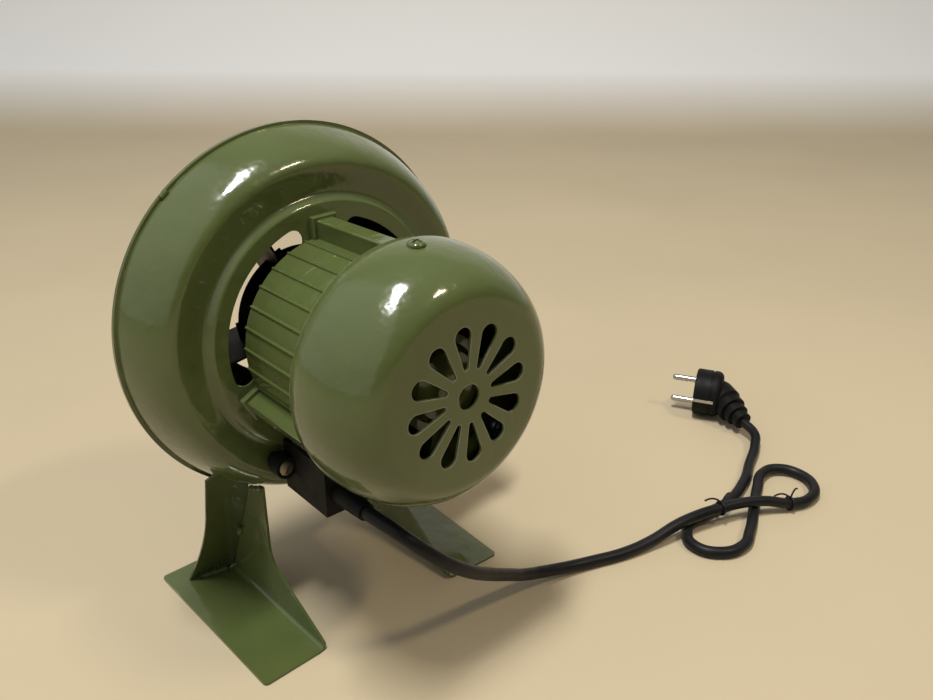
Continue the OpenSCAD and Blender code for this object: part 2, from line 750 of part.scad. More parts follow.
// Cowl over the motor, a turned shell with teardrop vents
function cowl_path() =
    concat([[cowl_r, 0]],
           [for (i = [0:16]) let (t = 90 * i / 16)
               [cowl_flat_r + (cowl_max_r - cowl_flat_r) * cos(t),
                cowl_skirt + (cowl_end - cowl_front - cowl_skirt) * sin(t)]]);
module petal() {
    lean = asin((petal_out_r - petal_in_r) / (petal_out - petal_in));
    polygon(concat(
        arc([petal_out, 0], petal_out_r, -90 - lean, 90 + lean, 12),
        arc([petal_in, 0], petal_in_r, 90 + lean, 270 - lean, 6)));
}
module motor_cowl() {
    outer = cowl_path();
    inner = inset(outer, cowl_t);
    ring = concat(outer, [[0, cowl_end - cowl_front], [0, cowl_end - cowl_front - cowl_t]], backwards(inner));
    color(paint_green) placed() difference() {
        turned([for (p = ring) [p[0], -cowl_front - p[1]]]);
        rod(hub_hole_r, -cowl_end - past, -cowl_end + cowl_t + past);
        for (i = [0:petals - 1])
            plate_y(-cowl_end + cowl_t + past, cowl_t + 2 * past)
                rotate(petal_angle + i * 360 / petals) petal();
        for (i = [0:lugs - 1]) around(lug_turns[i]) translate([lug_r, cowl_screw_y, 0]) rotate([0, 90, 0])
            cylinder(r = cowl_screw_r + screw_clear, h = cowl_max_r + past - lug_r);
    }
}
module cowl_screws() {
    color(paint_green) placed() for (i = [0:lugs - 1]) around(lug_turns[i])
        translate([cowl_max_r, cowl_screw_y, 0]) rotate([0, 90, 0])
            screw(cowl_screw_r, cowl_max_r - lug_r + cowl_grip, cross_slots);
}

// Terminal box with two screw ears, and what it holds
module terminal_box() {
    front = trunk_r + run_gap;
    color(black_plastic) placed() difference() {
        union() {
            block([-box_half_w, -box_back, -box_bottom], [box_half_w, -front, -box_top]);
            for (side = [-1, 1]) translate([side * ear_x, 0, ear_z]) {
                rod(ear_r, -ear_back, -front);
                rod(ear_boss_r, -front - past, -valley_d + past);
            }
        }
        block([-box_half_w + box_wall, -box_back + box_wall, -box_bottom + box_wall],
              [box_half_w - box_wall, -valley_d, -box_top - box_wall]);
        for (side = [-1, 1]) translate([side * ear_x, 0, ear_z]) {
            rod(ear_screw_r + screw_clear, -ear_back - past, 0);
            rod(ear_sink_r, -ear_back - past, -ear_back + ear_sink);
        }
        translate([gland_x, 0, gland_z])
            rod(gland_neck_r + slip, -box_back - past, -box_back + box_wall + past);
        casing_envelope(seat_gap);
    }
}
module terminal_screws() {
    color(brass) placed() for (side = [-1, 1])
        translate([side * ear_x, -ear_back + ear_sink, ear_z]) rotate([90, 0, 0])
            screw(ear_screw_r, ear_back - ear_sink - valley_d + ear_grip, [90]);
}
module terminal_block() {
    back = -box_back + box_wall + past;
    floor_z = -box_bottom + box_wall;
    color(cream) placed() difference() {
        block([block_x, back, floor_z], [block_x + block_w, back + block_d, floor_z + block_h]);
        for (i = [0:block_ways - 1])
            translate([block_x + (i + 0.5) * block_w / block_ways, back + block_d / 2, floor_z + block_h / 2])
                cylinder(r = block_hole_r, h = block_h);
    }
}
module capacitor() {
    y = -trunk_r - run_gap - past - cap_r;
    color(aluminium) placed() translate([cap_x - cap_len / 2, y, -box_top - box_wall - cap_r - seat_gap])
        rotate([0, 90, 0]) rotate_extrude() polygon([
            [0, 0], [cap_r - cap_edge, 0], [cap_r, cap_edge], [cap_r, cap_len - cap_edge],
            [cap_r - cap_edge, cap_len], [0, cap_len]]);
}
module cord_gland() {
    neck = box_back - box_wall - gland_thread;
    color(black_plastic) placed() translate([gland_x, 0, gland_z]) turned([
        [0, -gland_end], [gland_neck_r, -gland_end], [gland_root_r, -box_back], [gland_neck_r, -box_back],
        [gland_neck_r, -neck], [0, -neck]]);
}
module gland_nut() {
    inner = -box_back + box_wall;
    color(black_plastic) placed() translate([gland_x, 0, gland_z]) difference() {
        along_y(inner) cylinder(r = gland_nut_r, h = gland_nut_t, $fn = 6);
        rod(gland_neck_r + slip, inner - past, inner + gland_nut_t + past);
    }
}

// Impeller, a riveted paddle wheel on a turned hub
module hub_spacer() {
    color(steel) placed() tube(shaft_r + slip, race_in_r, front_bearing_y, -hub_back);
}
module impeller_hub() {
    color(steel) placed() difference() {
        turned([[shaft_r + slip, -hub_back], [hub_r, -hub_back], [hub_r, -hub_flange_t],
                [hub_flange_r, -hub_flange_t], [hub_flange_r, 0], [hub_r, 0], [hub_r, hub_front],
                [shaft_r + slip, hub_front]]);
        hub_rivet_places() rod(rivet_r + slip, -hub_flange_t - past, past);
    }
}
module impeller_plate() {
    color(black_paint) placed() difference() {
        tube(hub_r + slip, plate_hub_r, 0, plate_t);
        hub_rivet_places() rod(rivet_r + slip, -past, plate_t + past);
        blade_rivet_places() rod(rivet_r + slip, -past, plate_t + past);
    }
}
module hub_rivet_places() {
    for (i = [0:hub_rivets_n - 1])
        around(hub_rivet_turn + i * 360 / hub_rivets_n) translate([hub_rivet_r, 0, 0]) children();
}
module blade_rivet_places() {
    for (i = [0:blades - 1], r = [root_r + blade_rivet_edge, plate_hub_r - blade_rivet_edge])
        around(blade_angle + i * 360 / blades) translate([r, 0, blade_rivet_z]) children();
}
module impeller_blades() {
    step = plate_hub_r + blade_step;
    tip_cut = [6, 8];
    root_cut = [5, 6];
    color(black_paint) placed() difference() {
        for (i = [0:blades - 1]) around(blade_angle + i * 360 / blades) {
            linear_extrude(blade_t) polygon([
                [root_r, plate_t], [step, plate_t], [step, -blade_back], [tip_r - tip_cut[0], -blade_back],
                [tip_r, -blade_back + tip_cut[1]], [tip_r, blade_front], [root_r + root_cut[0], blade_front],
                [root_r, blade_front - root_cut[1]]]);
            block([root_r, plate_t, -blade_tab], [plate_hub_r, plate_t + blade_t, blade_t]);
        }
        blade_rivet_places() rod(rivet_r + slip, plate_t - past, plate_t + blade_t + past);
    }
}
module rivet(low, high) {
    ends = [low - rivet_head, high + rivet_head];
    turned([[0, ends[0]], [rivet_head_r, ends[0]], [rivet_head_r, low], [rivet_r, low], [rivet_r, high],
            [rivet_head_r, high], [rivet_head_r, ends[1]], [0, ends[1]]]);
}
module hub_rivets() {
    color(steel) placed() hub_rivet_places() rivet(-hub_flange_t, plate_t);
}
module blade_rivets() {
    color(steel) placed() blade_rivet_places() rivet(0, plate_t + blade_t);
}
module impeller_washer() {
    color(steel) placed() tube(thread_r + slip, 9, hub_front, hub_front + nut_washer_t);
}
module impeller_nut() {
    y = hub_front + nut_washer_t;
    color(steel) placed() difference() {
        along_y(y) cylinder(r = 7.5, h = nut_h, $fn = 6);
        rod(thread_r + slip, y - past, y + nut_h + past);
    }
}

// Power cord, one tube swept along its route
function side_of(t) = unit(cross(t, [0, 0, 1]));
function cord_ring(i, r) =
    let (t = run_at(cord_route, i), s = side_of(t), u = cross(s, t))
    [for (k = [0:cord_sides - 1])
        let (a = 360 * k / cord_sides) cord_route[i] + r * (cos(a) * s + sin(a) * u)];
module power_cord() {
    n = len(cord_route);
    points = [for (i = [0:n - 1]) each cord_ring(i, cord_r)];
    sides = [for (i = [0:n - 2], k = [0:cord_sides - 1])
        let (a = i * cord_sides + k, b = i * cord_sides + (k + 1) % cord_sides)
        [a, b, b + cord_sides, a + cord_sides]];
    first = [for (k = [cord_sides - 1:-1:0]) k];
    last = [for (k = [0:cord_sides - 1]) (n - 1) * cord_sides + k];
    color(black_plastic) polyhedron(points, concat([first], sides, [last]), convexity = 6);
}
module cord_ties() {
    color(black_plastic) for (i = tie_places) {
        t = run_at(cord_route, i);
        translate(cord_route[i]) rotate([0, acos(t[2]), atan2(t[1], t[0])])
            rotate_extrude() translate([cord_r + tie_wire_r + 0.1, 0]) circle(r = tie_wire_r);
    }
}

// Angled two-pin plug lying on its rim
module plug_placed() { translate(plug_face) rotate([90, 0, plug_turn + 90]) children(); }
module plug_clip(gap) {
    for (a = [0, 180]) rotate(a)
        block([plug_r - clip_t - slip - gap, -clip_w / 2 - gap, -clip_len - gap],
              [plug_r - slip + 2 * past * sign(gap), clip_w / 2 + gap, -slip + 2 * past * sign(gap)]);
}
module plug_body() {
    run = handle_end - handle_start;
    color(black_plastic) {
        plug_placed() difference() {
            rotate_extrude() polygon(concat(
                [[0, -plug_len]], arc([plug_r - plug_round, plug_round - plug_len], plug_round, -90, 0, 6),
                [[plug_r, -plug_edge], [plug_r - plug_edge, 0], [0, 0]]));
            for (s = [-1, 1]) translate([0, s * pin_pitch / 2, -pin_root])
                cylinder(r = pin_r + slip, h = pin_root + past);
            plug_clip(slip);
        }
        translate(handle_start) rotate([0, acos(run[2] / norm(run)), atan2(run[1], run[0])])
            cylinder(r1 = handle_r0, r2 = handle_r1, h = norm(run));
    }
}
module plug_pins() {
    color(steel) plug_placed() for (s = [-1, 1]) translate([0, s * pin_pitch / 2, 0]) rotate_extrude()
        polygon(concat([[0, -pin_root], [pin_r, -pin_root]], arc([0, pin_len - pin_r], pin_r, 0, 90, 6)));
}
module plug_earth_clips() {
    color(steel) plug_placed() plug_clip(0);
}

rear_casing();
front_casing();
outlet_pipe();
left_foot();
right_foot();
left_gusset();
right_gusset();
motor_housing();
front_endshield();
rear_endshield();
endshield_screws();
stator_core();
stator_windings();
front_bearing();
rear_bearing();
bearing_balls();
preload_washer();
motor_screws();
motor_cowl();
cowl_screws();
terminal_box();
terminal_screws();
terminal_block();
capacitor();
cord_gland();
gland_nut();
shaft();
rotor_core();
rotor_rings();
front_inner_race();
rear_inner_race();
hub_spacer();
impeller_hub();
impeller_plate();
impeller_blades();
hub_rivets();
blade_rivets();
impeller_washer();
impeller_nut();
power_cord();
cord_ties();
plug_body();
plug_pins();
plug_earth_clips();
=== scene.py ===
"""Looks of a mains-powered centrifugal blower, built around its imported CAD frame."""

import json
import math

import bmesh
import bpy
from mathutils import Matrix, Vector


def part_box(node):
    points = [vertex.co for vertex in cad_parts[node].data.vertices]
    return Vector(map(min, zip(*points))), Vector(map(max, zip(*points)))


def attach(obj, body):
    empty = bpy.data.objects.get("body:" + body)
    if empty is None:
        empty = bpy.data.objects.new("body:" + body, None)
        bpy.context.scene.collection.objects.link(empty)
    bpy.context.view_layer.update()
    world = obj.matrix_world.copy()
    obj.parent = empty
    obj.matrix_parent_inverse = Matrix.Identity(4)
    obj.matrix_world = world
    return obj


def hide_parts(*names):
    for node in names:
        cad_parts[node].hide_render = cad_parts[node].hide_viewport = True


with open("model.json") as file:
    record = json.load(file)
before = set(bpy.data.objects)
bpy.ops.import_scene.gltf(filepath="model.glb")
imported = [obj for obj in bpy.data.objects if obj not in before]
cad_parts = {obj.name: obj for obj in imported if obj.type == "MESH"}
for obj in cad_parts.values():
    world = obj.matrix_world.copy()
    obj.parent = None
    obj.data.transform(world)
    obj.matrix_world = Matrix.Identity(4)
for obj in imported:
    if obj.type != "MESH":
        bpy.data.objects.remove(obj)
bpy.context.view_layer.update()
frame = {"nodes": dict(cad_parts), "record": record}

MM = 0.001
ROOT = "blower"

# Where the shaft meets the seam of the casing, from the frame
cowl_low, cowl_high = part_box("motor_cowl")
SHAFT = Vector(
    (
        (cowl_low[0] + cowl_high[0]) / 2,
        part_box("rear_casing")[1][1],
        (cowl_low[2] + cowl_high[2]) / 2,
    )
)

# Driving sizes in millimetres, about the shaft with Y along it
RIM_R = (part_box("rear_casing")[1][2] - SHAFT.z) / MM
SEAM_W, SEAM_REACH, SEAM_GAP, TRUNK_LIP = 1.5, 8.0, 0.06, 3.0
SHEET = 1.2
CREST_R, CREST_D = 82.0, 28.5
VALLEY_R, VALLEY_D = 69.5, 26.5
DISC_R, DISC_D = 64.5, 30.0
BULGE_POWER, BULGE_STEPS, EASE_STEPS = 1.1, 40, 24
EYE_R, EYE_ROLL, EYE_LIP = 42.0, 5.0, 1.0
SLOT_RO, SLOT_RI, SLOT_SPAN, SLOT_CUT = 58.0, 47.0, 93.0, 6.0
SHAFT_HOLE_R, SHAFT_HOLE_CUT = 22.0, 4.0
TRUNK_R, TRUNK_DROP, TRUNK_END = 30.5, 70.0, 100.0
TRUNK_START, TRUNK_START_R, TRUNK_FULL_X = -50.0, 12.0, 5.0
TRUNK_CUTTER_X, TRUNK_CUTTER_Y, TRUNK_CUTTER_Z = (-120.0, 160.0), 60.0, (-160.0, 20.0)
PIPE_END, PIPE_GRIP, PIPE_WALL, PIPE_EDGE = 118.0, 24.0, 1.5, 0.5
MOTOR_R, MOTOR_BORE, MOTOR_LEN, BORE_LIP = 49.5, 44.0, 82.0, 4.0
RIB_PITCH, RIB_H, RIB_W, RIB_STEPS = 12.0, 0.9, 1.5, 12
RIB_SECTION = [(-1, 0), (-0.72, 0.62), (-0.4, 0.95), (0, 1), (0.4, 0.95), (0.72, 0.62), (1, 0)]
LUGS, LUG_ANGLE, LUG_W, LUG_R, LUG_ROOT, LUG_SHORT = 3, 93.0, 9.5, 58.5, 2.0, 0.3
LUG_SPREAD, SLOT_LEAD = (0, 116, 238), 59
LUG_TURNS = [LUG_ANGLE + turn for turn in LUG_SPREAD]
SLOT_ANGLE = LUG_ANGLE + SLOT_LEAD
PAD_W, PAD_R, PAD_T = 14.0, 60.2, 3.6
COWL_R, COWL_MAX_R, COWL_FRONT, COWL_END = 60.3, 61.6, 89.0, 134.0
COWL_SKIRT, COWL_FLAT_R, COWL_T, COWL_LIP, COWL_STEPS = 7.0, 42.0, 1.2, (0.25, 1.2), 64
PETALS, PETAL_ANGLE = 12, 66.5
PETAL_OUT, PETAL_OUT_R, PETAL_IN, PETAL_IN_R = 28.5, 4.5, 14.2, 1.4
HUB_HOLE_R, HUB_HOLE_CUT = 5.9, 3.0
COWL_SCREW_IN = 15.0
COWL_SCREW_Y = -COWL_FRONT - COWL_SCREW_IN

# How far a cutter stands past what it cuts, and the sides of turned pieces
OVERRUN = 1.0
VERY_FINE, FINE, MEDIUM, COARSE, ROUGH = 256, 128, 96, 64, 32

# Rounded edges in millimetres
HOUSING_EDGE, LUG_EDGE, PAD_EDGE, COWL_EDGE, HEAD_EDGE = 0.35, 1.0, 0.8, 0.3, 0.15
BOX_EDGE, FOOT_EDGE, PLUG_EDGE, CLIP_EDGE = 0.6, 0.4, 0.3, 0.2

# Cord route in millimetres on the floor, as in the CAD model
CORD_ROUTE = [
    (-35.5, -45.5, 90), (-35, -54, 90), (-33, -62, 88.5), (-28.5, -69, 83.5), (-21.5, -74, 76),
    (-12, -76.5, 66.5), (1, -76.5, 55), (20, -72, 40), (41, -66.5, 25), (56, -64, 15.5), (70, -63.5, 9.5),
    (87, -66.5, 5.5), (107, -73, 4), (127, -80, 3.8), (148, -85, 5.6), (167, -89, 10.2), (185, -93, 11.5),
    (202, -98, 11.5), (218, -104, 11.5), (234, -112, 9.8), (249, -121, 6), (266, -126, 4.2),
    (283, -121, 4.2), (291, -106, 4.2), (284, -92, 5), (269, -89, 5), (254, -95, 4.2), (229, -107, 3.8),
    (204, -119, 3.8), (188, -124, 3.8), (172, -119, 3.8), (165, -105, 3.8), (173, -93, 3.8),
    (190, -89, 3.8), (222, -91.5, 3.8), (253, -85, 3.8), (278, -74.5, 3.8), (301, -65, 5.5), (313, -57, 8),
    (318, -44, 11),
]
CORD_R = 3.5

# Plug and ties, in millimetres on the floor
PLUG_FACE, PLUG_TURN = (322.0, 3.5, 19.0), 117.0
PLUG_R, PLUG_LEN, PLUG_ROUND = 18.5, 21.0, 5.0
PLUG_SEAM, PLUG_GROOVE, PLUG_CHAMFER = 13.0, 0.6, 1.0
GROOVE_SECTION = ((-1.5, 0), (-1, 1), (1, 1), (1.5, 0))
CLIP_W, CLIP_T, CLIP_LEN = 2.6, 1.0, 16.0
GRIP_START, GRIP_R, GRIP_NECK_R, GRIP_END_R = (330.0, -13.0, 19.0), 12.5, 11.0, 7.0
KNUCKLE_LEN, KNUCKLE_TAPER, GRIP_RIBS, GRIP_RIB_H, GRIP_RIB_SHARES = 13.0, 2.0, 3, 0.7, (0.3, 0.4, 0.95)
TIE_PLACES, TIE_WIRE_R, TIE_LIFT = (17, 20), 0.6, 2.5
TIE_ENDS, TIE_SHARES = [(-9.0, 7.0, 2.0), (17.0, 4.0, -2.0)], (0, 0.35, 0.7, 1)

# Terminal box, screws and welds, in millimetres about the shaft
BOX_HALF_W, BOX_TOP, BOX_BOTTOM, BOX_BACK, BOX_FRONT, BOX_WALL = 35.0, 52.0, 80.0, 69.0, 30.8, 2.0
EAR_PLACE, EAR_R, EAR_BACK, EAR_BOSS_R = (39.0, -63.5), 5.8, 40.0, 4.2
EAR_SINK, EAR_SINK_R = 1.2, 4.5
SCREW_R, SCREW_H, SCREW_EDGE, SCREW_NECK, SCREW_ROOT = 4.2, 2.2, 0.3, 0.7, 1.0
SCREW_SLOT_W, SCREW_SLOT_D, SCREW_SLOT_SHARE = 1.25, 1.3, 0.66
COWL_SCREW_R, COWL_SCREW_LUGS, COWL_SLOT_TURNS, EAR_SLOT_TURNS = 61.0, (0, 2), (20, 110), (65,)
DRIVE_SHARE, DRIVE_T = 0.7, 0.3
WELD_R, WELD_STEP, WELD_LUMP, WELD_BEATS = 1.6, 1.6, 0.22, (1.9, 4.3)
TACK_ANGLES, TACK_SPAN = (132.0, 22.0), 2.4
WELD_FROM, BASE_WELD, POST_WELD = 0.35, 1.25, (0.58, 0.68)

# Stand, in millimetres from the floor up and about the middle of the casing
SHAFT_H = SHAFT.z / MM
FOOT_HALF_W, FOOT_IN, FOOT_BACK, FOOT_FRONT = 82.0, 45.0, 70.5, 43.0
FOOT_T, FOOT_BEND, FOOT_TOE, FOOT_CORNER = 1.5, 2.5, 2.5, 2.5
POST_BACK, POST_FLARE, POST_LAP, POST_GAP = 22.5, 16.0, 4.0, 2.0
FLARE_ANGLE, TOE_H = 27.0, 6.0
GUSSET_Y, GUSSET_LEAN, GUSSET_W, GUSSET_TURN, GUSSET_CUT = 22.8, 23.0, 16.5, 12.5, (5.5, 4.5)
NECK_H, NECK_R = 60.0, 190.0
HEEL_END, HEEL_STEPS, FLARE_STEPS, CORNER_STEPS, BEND_STEPS, POST_STEPS = 145.0, 5, 14, 6, 6, 10
GUSSET_STEPS, REACH_STEPS, REACH_HALVINGS = 12, 160, 12
SEAT_GAP, SLIP = 0.25, 0.05

# Camera of the photograph, in millimetres about the shaft and the floor
CAMERA_FROM_SHAFT = (-207.4, -365.2)
CAMERA_HEIGHT = 317.4
CAMERA_AZIMUTH, CAMERA_ELEVATION, CAMERA_ROLL = -41.68, 23.715, 0.277
FOCAL_PX, PHOTO_W, SENSOR_W, NEAREST = 817.8, 933, 36.0, 0.01

# Stage in metres: the floor rises into the wall behind the object
STAGE_SIZE, STAGE_BACK, STAGE_SWEEP, STAGE_RISE = 6.0, 1.6, 0.5, 3.0
FLOOR_COLOURS, FLOOR_CLOUDS = ((0.44, 0.365, 0.24), (0.465, 0.385, 0.255)), 3
WALL_START, WALL_COLOUR, STAGE_ROUGHNESS = 0.12, (0.8, 0.8, 0.79), 0.75

# Lights: direction from the casing, size in metres, power in watts, colour and long side
LIGHT_TARGET, LIGHT_DISTANCE = (0, 0, 0.2), 2.0
LIGHTS = {
    "ceiling_panel": ((-0.22, -0.05, 0.97), (0.2, 0.62), 44, (1.0, 0.99, 0.96), (0.3, 0.18, 0)),
    "lamp": ((0.29, -0.56, 0.776), (0.34, 0.1), 11, (1.0, 0.84, 0.58), (0, 0, 1)),
}

# Glow of the room: its levels, directions, and how far along those it fades in
SKY_COLOUR = (0.97, 0.98, 1.0, 1)
ROOM_GLOW, CEILING_GLOW, WINDOW_GLOW = 0.03, 0.32, 0.5
CEILING_FROM, CEILING_FADE = (0.0, 0.0, 1.0), (0.2, 1.0)
WINDOW_FROM, WINDOW_FADE = (-0.88, 0.2, 0.35), (0.5, 0.58)

# Paint: worn and lighter edges in metres, which are real chips and, where the chips are many, a painted
# highlight along the edges; noise to the metre, waves as noise, detail and height in metres
EDGE_WEAR_AND_LIGHT, EDGE_TURN = 0.0009, (0.8, 0.98)
CHIP_NOISE, CHIP_DETAIL, CHIP_FADE, FEW_CHIPS, MANY_CHIPS_AND_EDGE_LIGHT = 48, 4.0, 0.05, 0.63, 0.4
# Colour of the lighter edges: bare steel where the paint is worn, and on the cowl also a painted highlight
BARE_STEEL_AND_EDGE_LIGHT = (0.3, 0.305, 0.25)
GREEN = (0.069, 0.089, 0.0265), (0.08, 0.103, 0.032)
# Darker copy of the green enamel for the gussets: painted shade, as the plates sit in the shadow of the
# casing
SHADED_GREEN = (0.05, 0.064, 0.017), (0.058, 0.074, 0.02)
PAINT_CLOUDS, GLOSS_CLOUDS, PAINT_ROUGHNESS = 16, 60, (0.13, 0.22)
PAINT_WAVES = ((28, 1.0, 0.0012), (105, 2.0, 0.0005), (420, 2.0, 0.000012))
SATIN_CLOUDS, SATIN_GLOSS_CLOUDS, SATIN_SPREAD = 40, 90, (0.05, 0.06)


# Mesh helpers
def link(name, mesh):
    """A new object of the scene."""
    obj = bpy.data.objects.new(name, mesh)
    bpy.context.scene.collection.objects.link(obj)
    return obj


def mesh_piece(name, points, faces, move=None):
    """A closed mesh from points in millimetres about the shaft, or moved by another matrix."""
    place = move or Matrix.Translation(SHAFT) @ Matrix.Scale(MM, 4)
    mesh = bpy.data.meshes.new(name)
    mesh.from_pydata([place @ Vector(p) for p in points], [], faces)
    shape = bmesh.new()
    shape.from_mesh(mesh)
    bmesh.ops.remove_doubles(shape, verts=shape.verts, dist=1e-7)
    bmesh.ops.dissolve_degenerate(shape, edges=shape.edges, dist=1e-8)
    bmesh.ops.recalc_face_normals(shape, faces=shape.faces)
    shape.to_mesh(mesh)
    shape.free()
    return link(name, mesh)


def lathe(name, profile, steps, axis="Y", move=None):
    """A closed profile of (radius, distance) turned about an axis."""
    points, faces, n = [], [], len(profile)
    for k in range(steps):
        a = 2 * math.pi * k / steps
        c, s = math.cos(a), math.sin(a)
        for r, d in profile:
            points.append({"Y": (r * c, d, r * s), "X": (d, r * c, r * s), "Z": (r * c, r * s, d)}[axis])
    for k in range(steps):
        for i in range(n):
            a, b = k * n + i, k * n + (i + 1) % n
            e, f = ((k + 1) % steps) * n + (i + 1) % n, ((k + 1) % steps) * n + i
            faces.append((a, b, e, f))
    return mesh_piece(name, points, faces, move)


def prism(name, outline, y0, y1):
    """An outline in X and Z drawn along Y."""
    n = len(outline)
    points = [(x, y, z) for y in (y0, y1) for x, z in outline]
    faces = [tuple(range(n)), tuple(range(2 * n - 1, n - 1, -1))]
    faces += [(i, (i + 1) % n, n + (i + 1) % n, n + i) for i in range(n)]
    return mesh_piece(name, points, faces)


def slab(name, low, high, turn=0.0, move=None):
    """A box between two corners, turned about the shaft from X towards Z, or moved by another matrix."""
    corners = [(x, y, z) for x in (low[0], high[0]) for y in (low[1], high[1]) for z in (low[2], high[2])]
    faces = [(0, 1, 3, 2), (4, 6, 7, 5), (0, 4, 5, 1), (2, 3, 7, 6), (0, 2, 6, 4), (1, 5, 7, 3)]
    spin = Matrix.Rotation(-math.radians(turn), 4, "Y")
    return mesh_piece(name, [spin @ Vector(p) for p in corners], faces, move)


def tube(name, lines, r, swell=None):
    """Round wires through points in millimetres on the floor, each swelling by its point's number."""
    curve = bpy.data.curves.new(name, "CURVE")
    curve.dimensions = "3D"
    curve.bevel_depth = r * MM
    curve.bevel_resolution = 6
    curve.resolution_u = 12
    curve.use_fill_caps = True
    for places in lines:
        line = curve.splines.new("BEZIER")
        line.bezier_points.add(len(places) - 1)
        for i, (point, place) in enumerate(zip(line.bezier_points, places)):
            point.co = Vector(place) * MM
            point.radius = swell(i) if swell else 1.0
            point.handle_left_type = point.handle_right_type = "AUTO"
    return link(name, curve)


def combine(obj, operation, *others):
    """Boolean with each of the others, which are used up."""
    for other in others:
        step = obj.modifiers.new("combine", "BOOLEAN")
        step.operation = operation
        step.object = other
        step.solver = "MANIFOLD"
        graph = bpy.context.evaluated_depsgraph_get()
        mesh = bpy.data.meshes.new_from_object(obj.evaluated_get(graph))
        obj.modifiers.clear()
        obj.data = mesh
        bpy.data.objects.remove(other)
    return obj


def smooth(obj, angle=32):
    """Smooth shading with creases where faces meet at more than the angle."""
    obj.data.shade_smooth()
    obj.data.set_sharp_from_angle(angle=math.radians(angle))
    return obj


def soften(obj, width, segments=2, angle=32):
    """Rounds the edges of a piece by a width in millimetres."""
    step = obj.modifiers.new("soften", "BEVEL")
    step.width = width * MM
    step.segments = segments
    step.limit_method = "ANGLE"
    step.angle_limit = math.radians(angle)
    step.use_clamp_overlap = True
    step.harden_normals = True
    return obj


def arc(centre, r, a0, a1, n):
    """Points of an arc between two angles in degrees."""
    angles = [math.radians(a0 + (a1 - a0) * i / n) for i in range(n + 1)]
    return [(centre[0] + r * math.cos(a), centre[1] + r * math.sin(a)) for a in angles]


def ease(a, b, n):
    """Points of an S-shaped curve from a to b, level at both ends."""
    return [
        (a[0] + (b[0] - a[0]) * i / n, a[1] + (b[1] - a[1]) * (1 - math.cos(math.pi * i / n)) / 2)
        for i in range(1, n + 1)
    ]


def inset(path, d):
    """The path moved inwards by a sheet thickness."""
    moved = []
    for i, p in enumerate(path):
        a, b = path[max(i - 1, 0)], path[min(i + 1, len(path) - 1)]
        run = math.hypot(b[0] - a[0], b[1] - a[1])
        moved.append((p[0] - d * (b[1] - a[1]) / run, p[1] + d * (b[0] - a[0]) / run))
    return moved


def turned_point(r, angle, y):
    """A point at a radius and an angle about the shaft, from X towards Z."""
    a = math.radians(angle)
    return (r * math.cos(a), y, r * math.sin(a))


# Material helpers
def add(tree, kind, **values):
    """A new node with its settings, or fixed values of its sockets, by name."""
    made = tree.nodes.new(kind)
    for key, value in values.items():
        if hasattr(made, key):
            setattr(made, key, value)
        else:
            made.inputs[key.replace("_", " ")].default_value = value
    return made


def noise(tree, scale, detail=3.0):
    """Noise fixed to the piece, with so many waves to the metre."""
    place = add(tree, "ShaderNodeTexCoord")
    made = add(tree, "ShaderNodeTexNoise", Scale=scale, Detail=detail, Roughness=0.5)
    tree.links.new(place.outputs["Object"], made.inputs["Vector"])
    return made.outputs["Fac"]


def ramp(tree, value, low, high, a=0.35, b=0.65):
    """A value spread between two levels."""
    made = add(tree, "ShaderNodeMapRange")
    made.inputs["From Min"].default_value = a
    made.inputs["From Max"].default_value = b
    made.inputs["To Min"].default_value = low
    made.inputs["To Max"].default_value = high
    tree.links.new(value, made.inputs["Value"])
    return made.outputs["Result"]


def blend(tree, factor, a, b):
    """Two colours, fixed or made by nodes, mixed by a factor."""
    made = add(tree, "ShaderNodeMix", data_type="RGBA")
    for socket, colour in zip([s for s in made.inputs if s.type == "RGBA"], (a, b)):
        if isinstance(colour, tuple):
            socket.default_value = (*colour, 1)
        else:
            tree.links.new(colour, socket)
    tree.links.new(factor, made.inputs["Factor"])
    return [s for s in made.outputs if s.type == "RGBA"][0]


def bumps(tree, layers):
    """Height layers of (texture value, height in metres) as one normal."""
    normal = None
    for value, height in layers:
        made = add(tree, "ShaderNodeBump", Strength=1.0, Distance=height)
        tree.links.new(value, made.inputs["Height"])
        if normal:
            tree.links.new(normal, made.inputs["Normal"])
        normal = made.outputs["Normal"]
    return normal


def material(name, colour, roughness, normal=None, **values):
    """A surface whose colour, roughness and relief come from functions of its node tree."""
    made = bpy.data.materials.new(name)
    made.use_nodes = True
    tree = made.node_tree
    surface = tree.nodes["Principled BSDF"]
    tree.links.new(colour(tree), surface.inputs["Base Color"])
    tree.links.new(roughness(tree), surface.inputs["Roughness"])
    if normal:
        tree.links.new(normal(tree), surface.inputs["Normal"])
    for key, value in values.items():
        surface.inputs[key.replace("_", " ")].default_value = value
    return made


def facing(tree, vector, other):
    """How far a direction made by nodes lies along another, which may be fixed."""
    made = add(tree, "ShaderNodeVectorMath", operation="DOT_PRODUCT")
    tree.links.new(vector, made.inputs[0])
    if isinstance(other, tuple):
        made.inputs[1].default_value = Vector(other).normalized()
    else:
        tree.links.new(other, made.inputs[1])
    return made.outputs["Value"]


def figure(tree, operation, a, b):
    """A sum or product of two values, fixed or made by nodes."""
    made = add(tree, "ShaderNodeMath", operation=operation)
    for socket, value in zip(made.inputs, (a, b)):
        if isinstance(value, float):
            socket.default_value = value
        else:
            tree.links.new(value, socket)
    return made.outputs["Value"]


def chips_and_edge_light(tree, start):
    """Places on the edges where the paint has come off, more of them from a lower start; where they are many,
    they also paint a highlight along the edges.
    """
    rounded = add(tree, "ShaderNodeBevel", samples=4, Radius=EDGE_WEAR_AND_LIGHT)
    place = add(tree, "ShaderNodeNewGeometry")
    turn = facing(tree, rounded.outputs["Normal"], place.outputs["Normal"])
    edge = ramp(tree, turn, 1, 0, *EDGE_TURN)
    patches = ramp(tree, noise(tree, CHIP_NOISE, CHIP_DETAIL), 0, 1, start, start + CHIP_FADE)
    return figure(tree, "MULTIPLY", edge, patches)


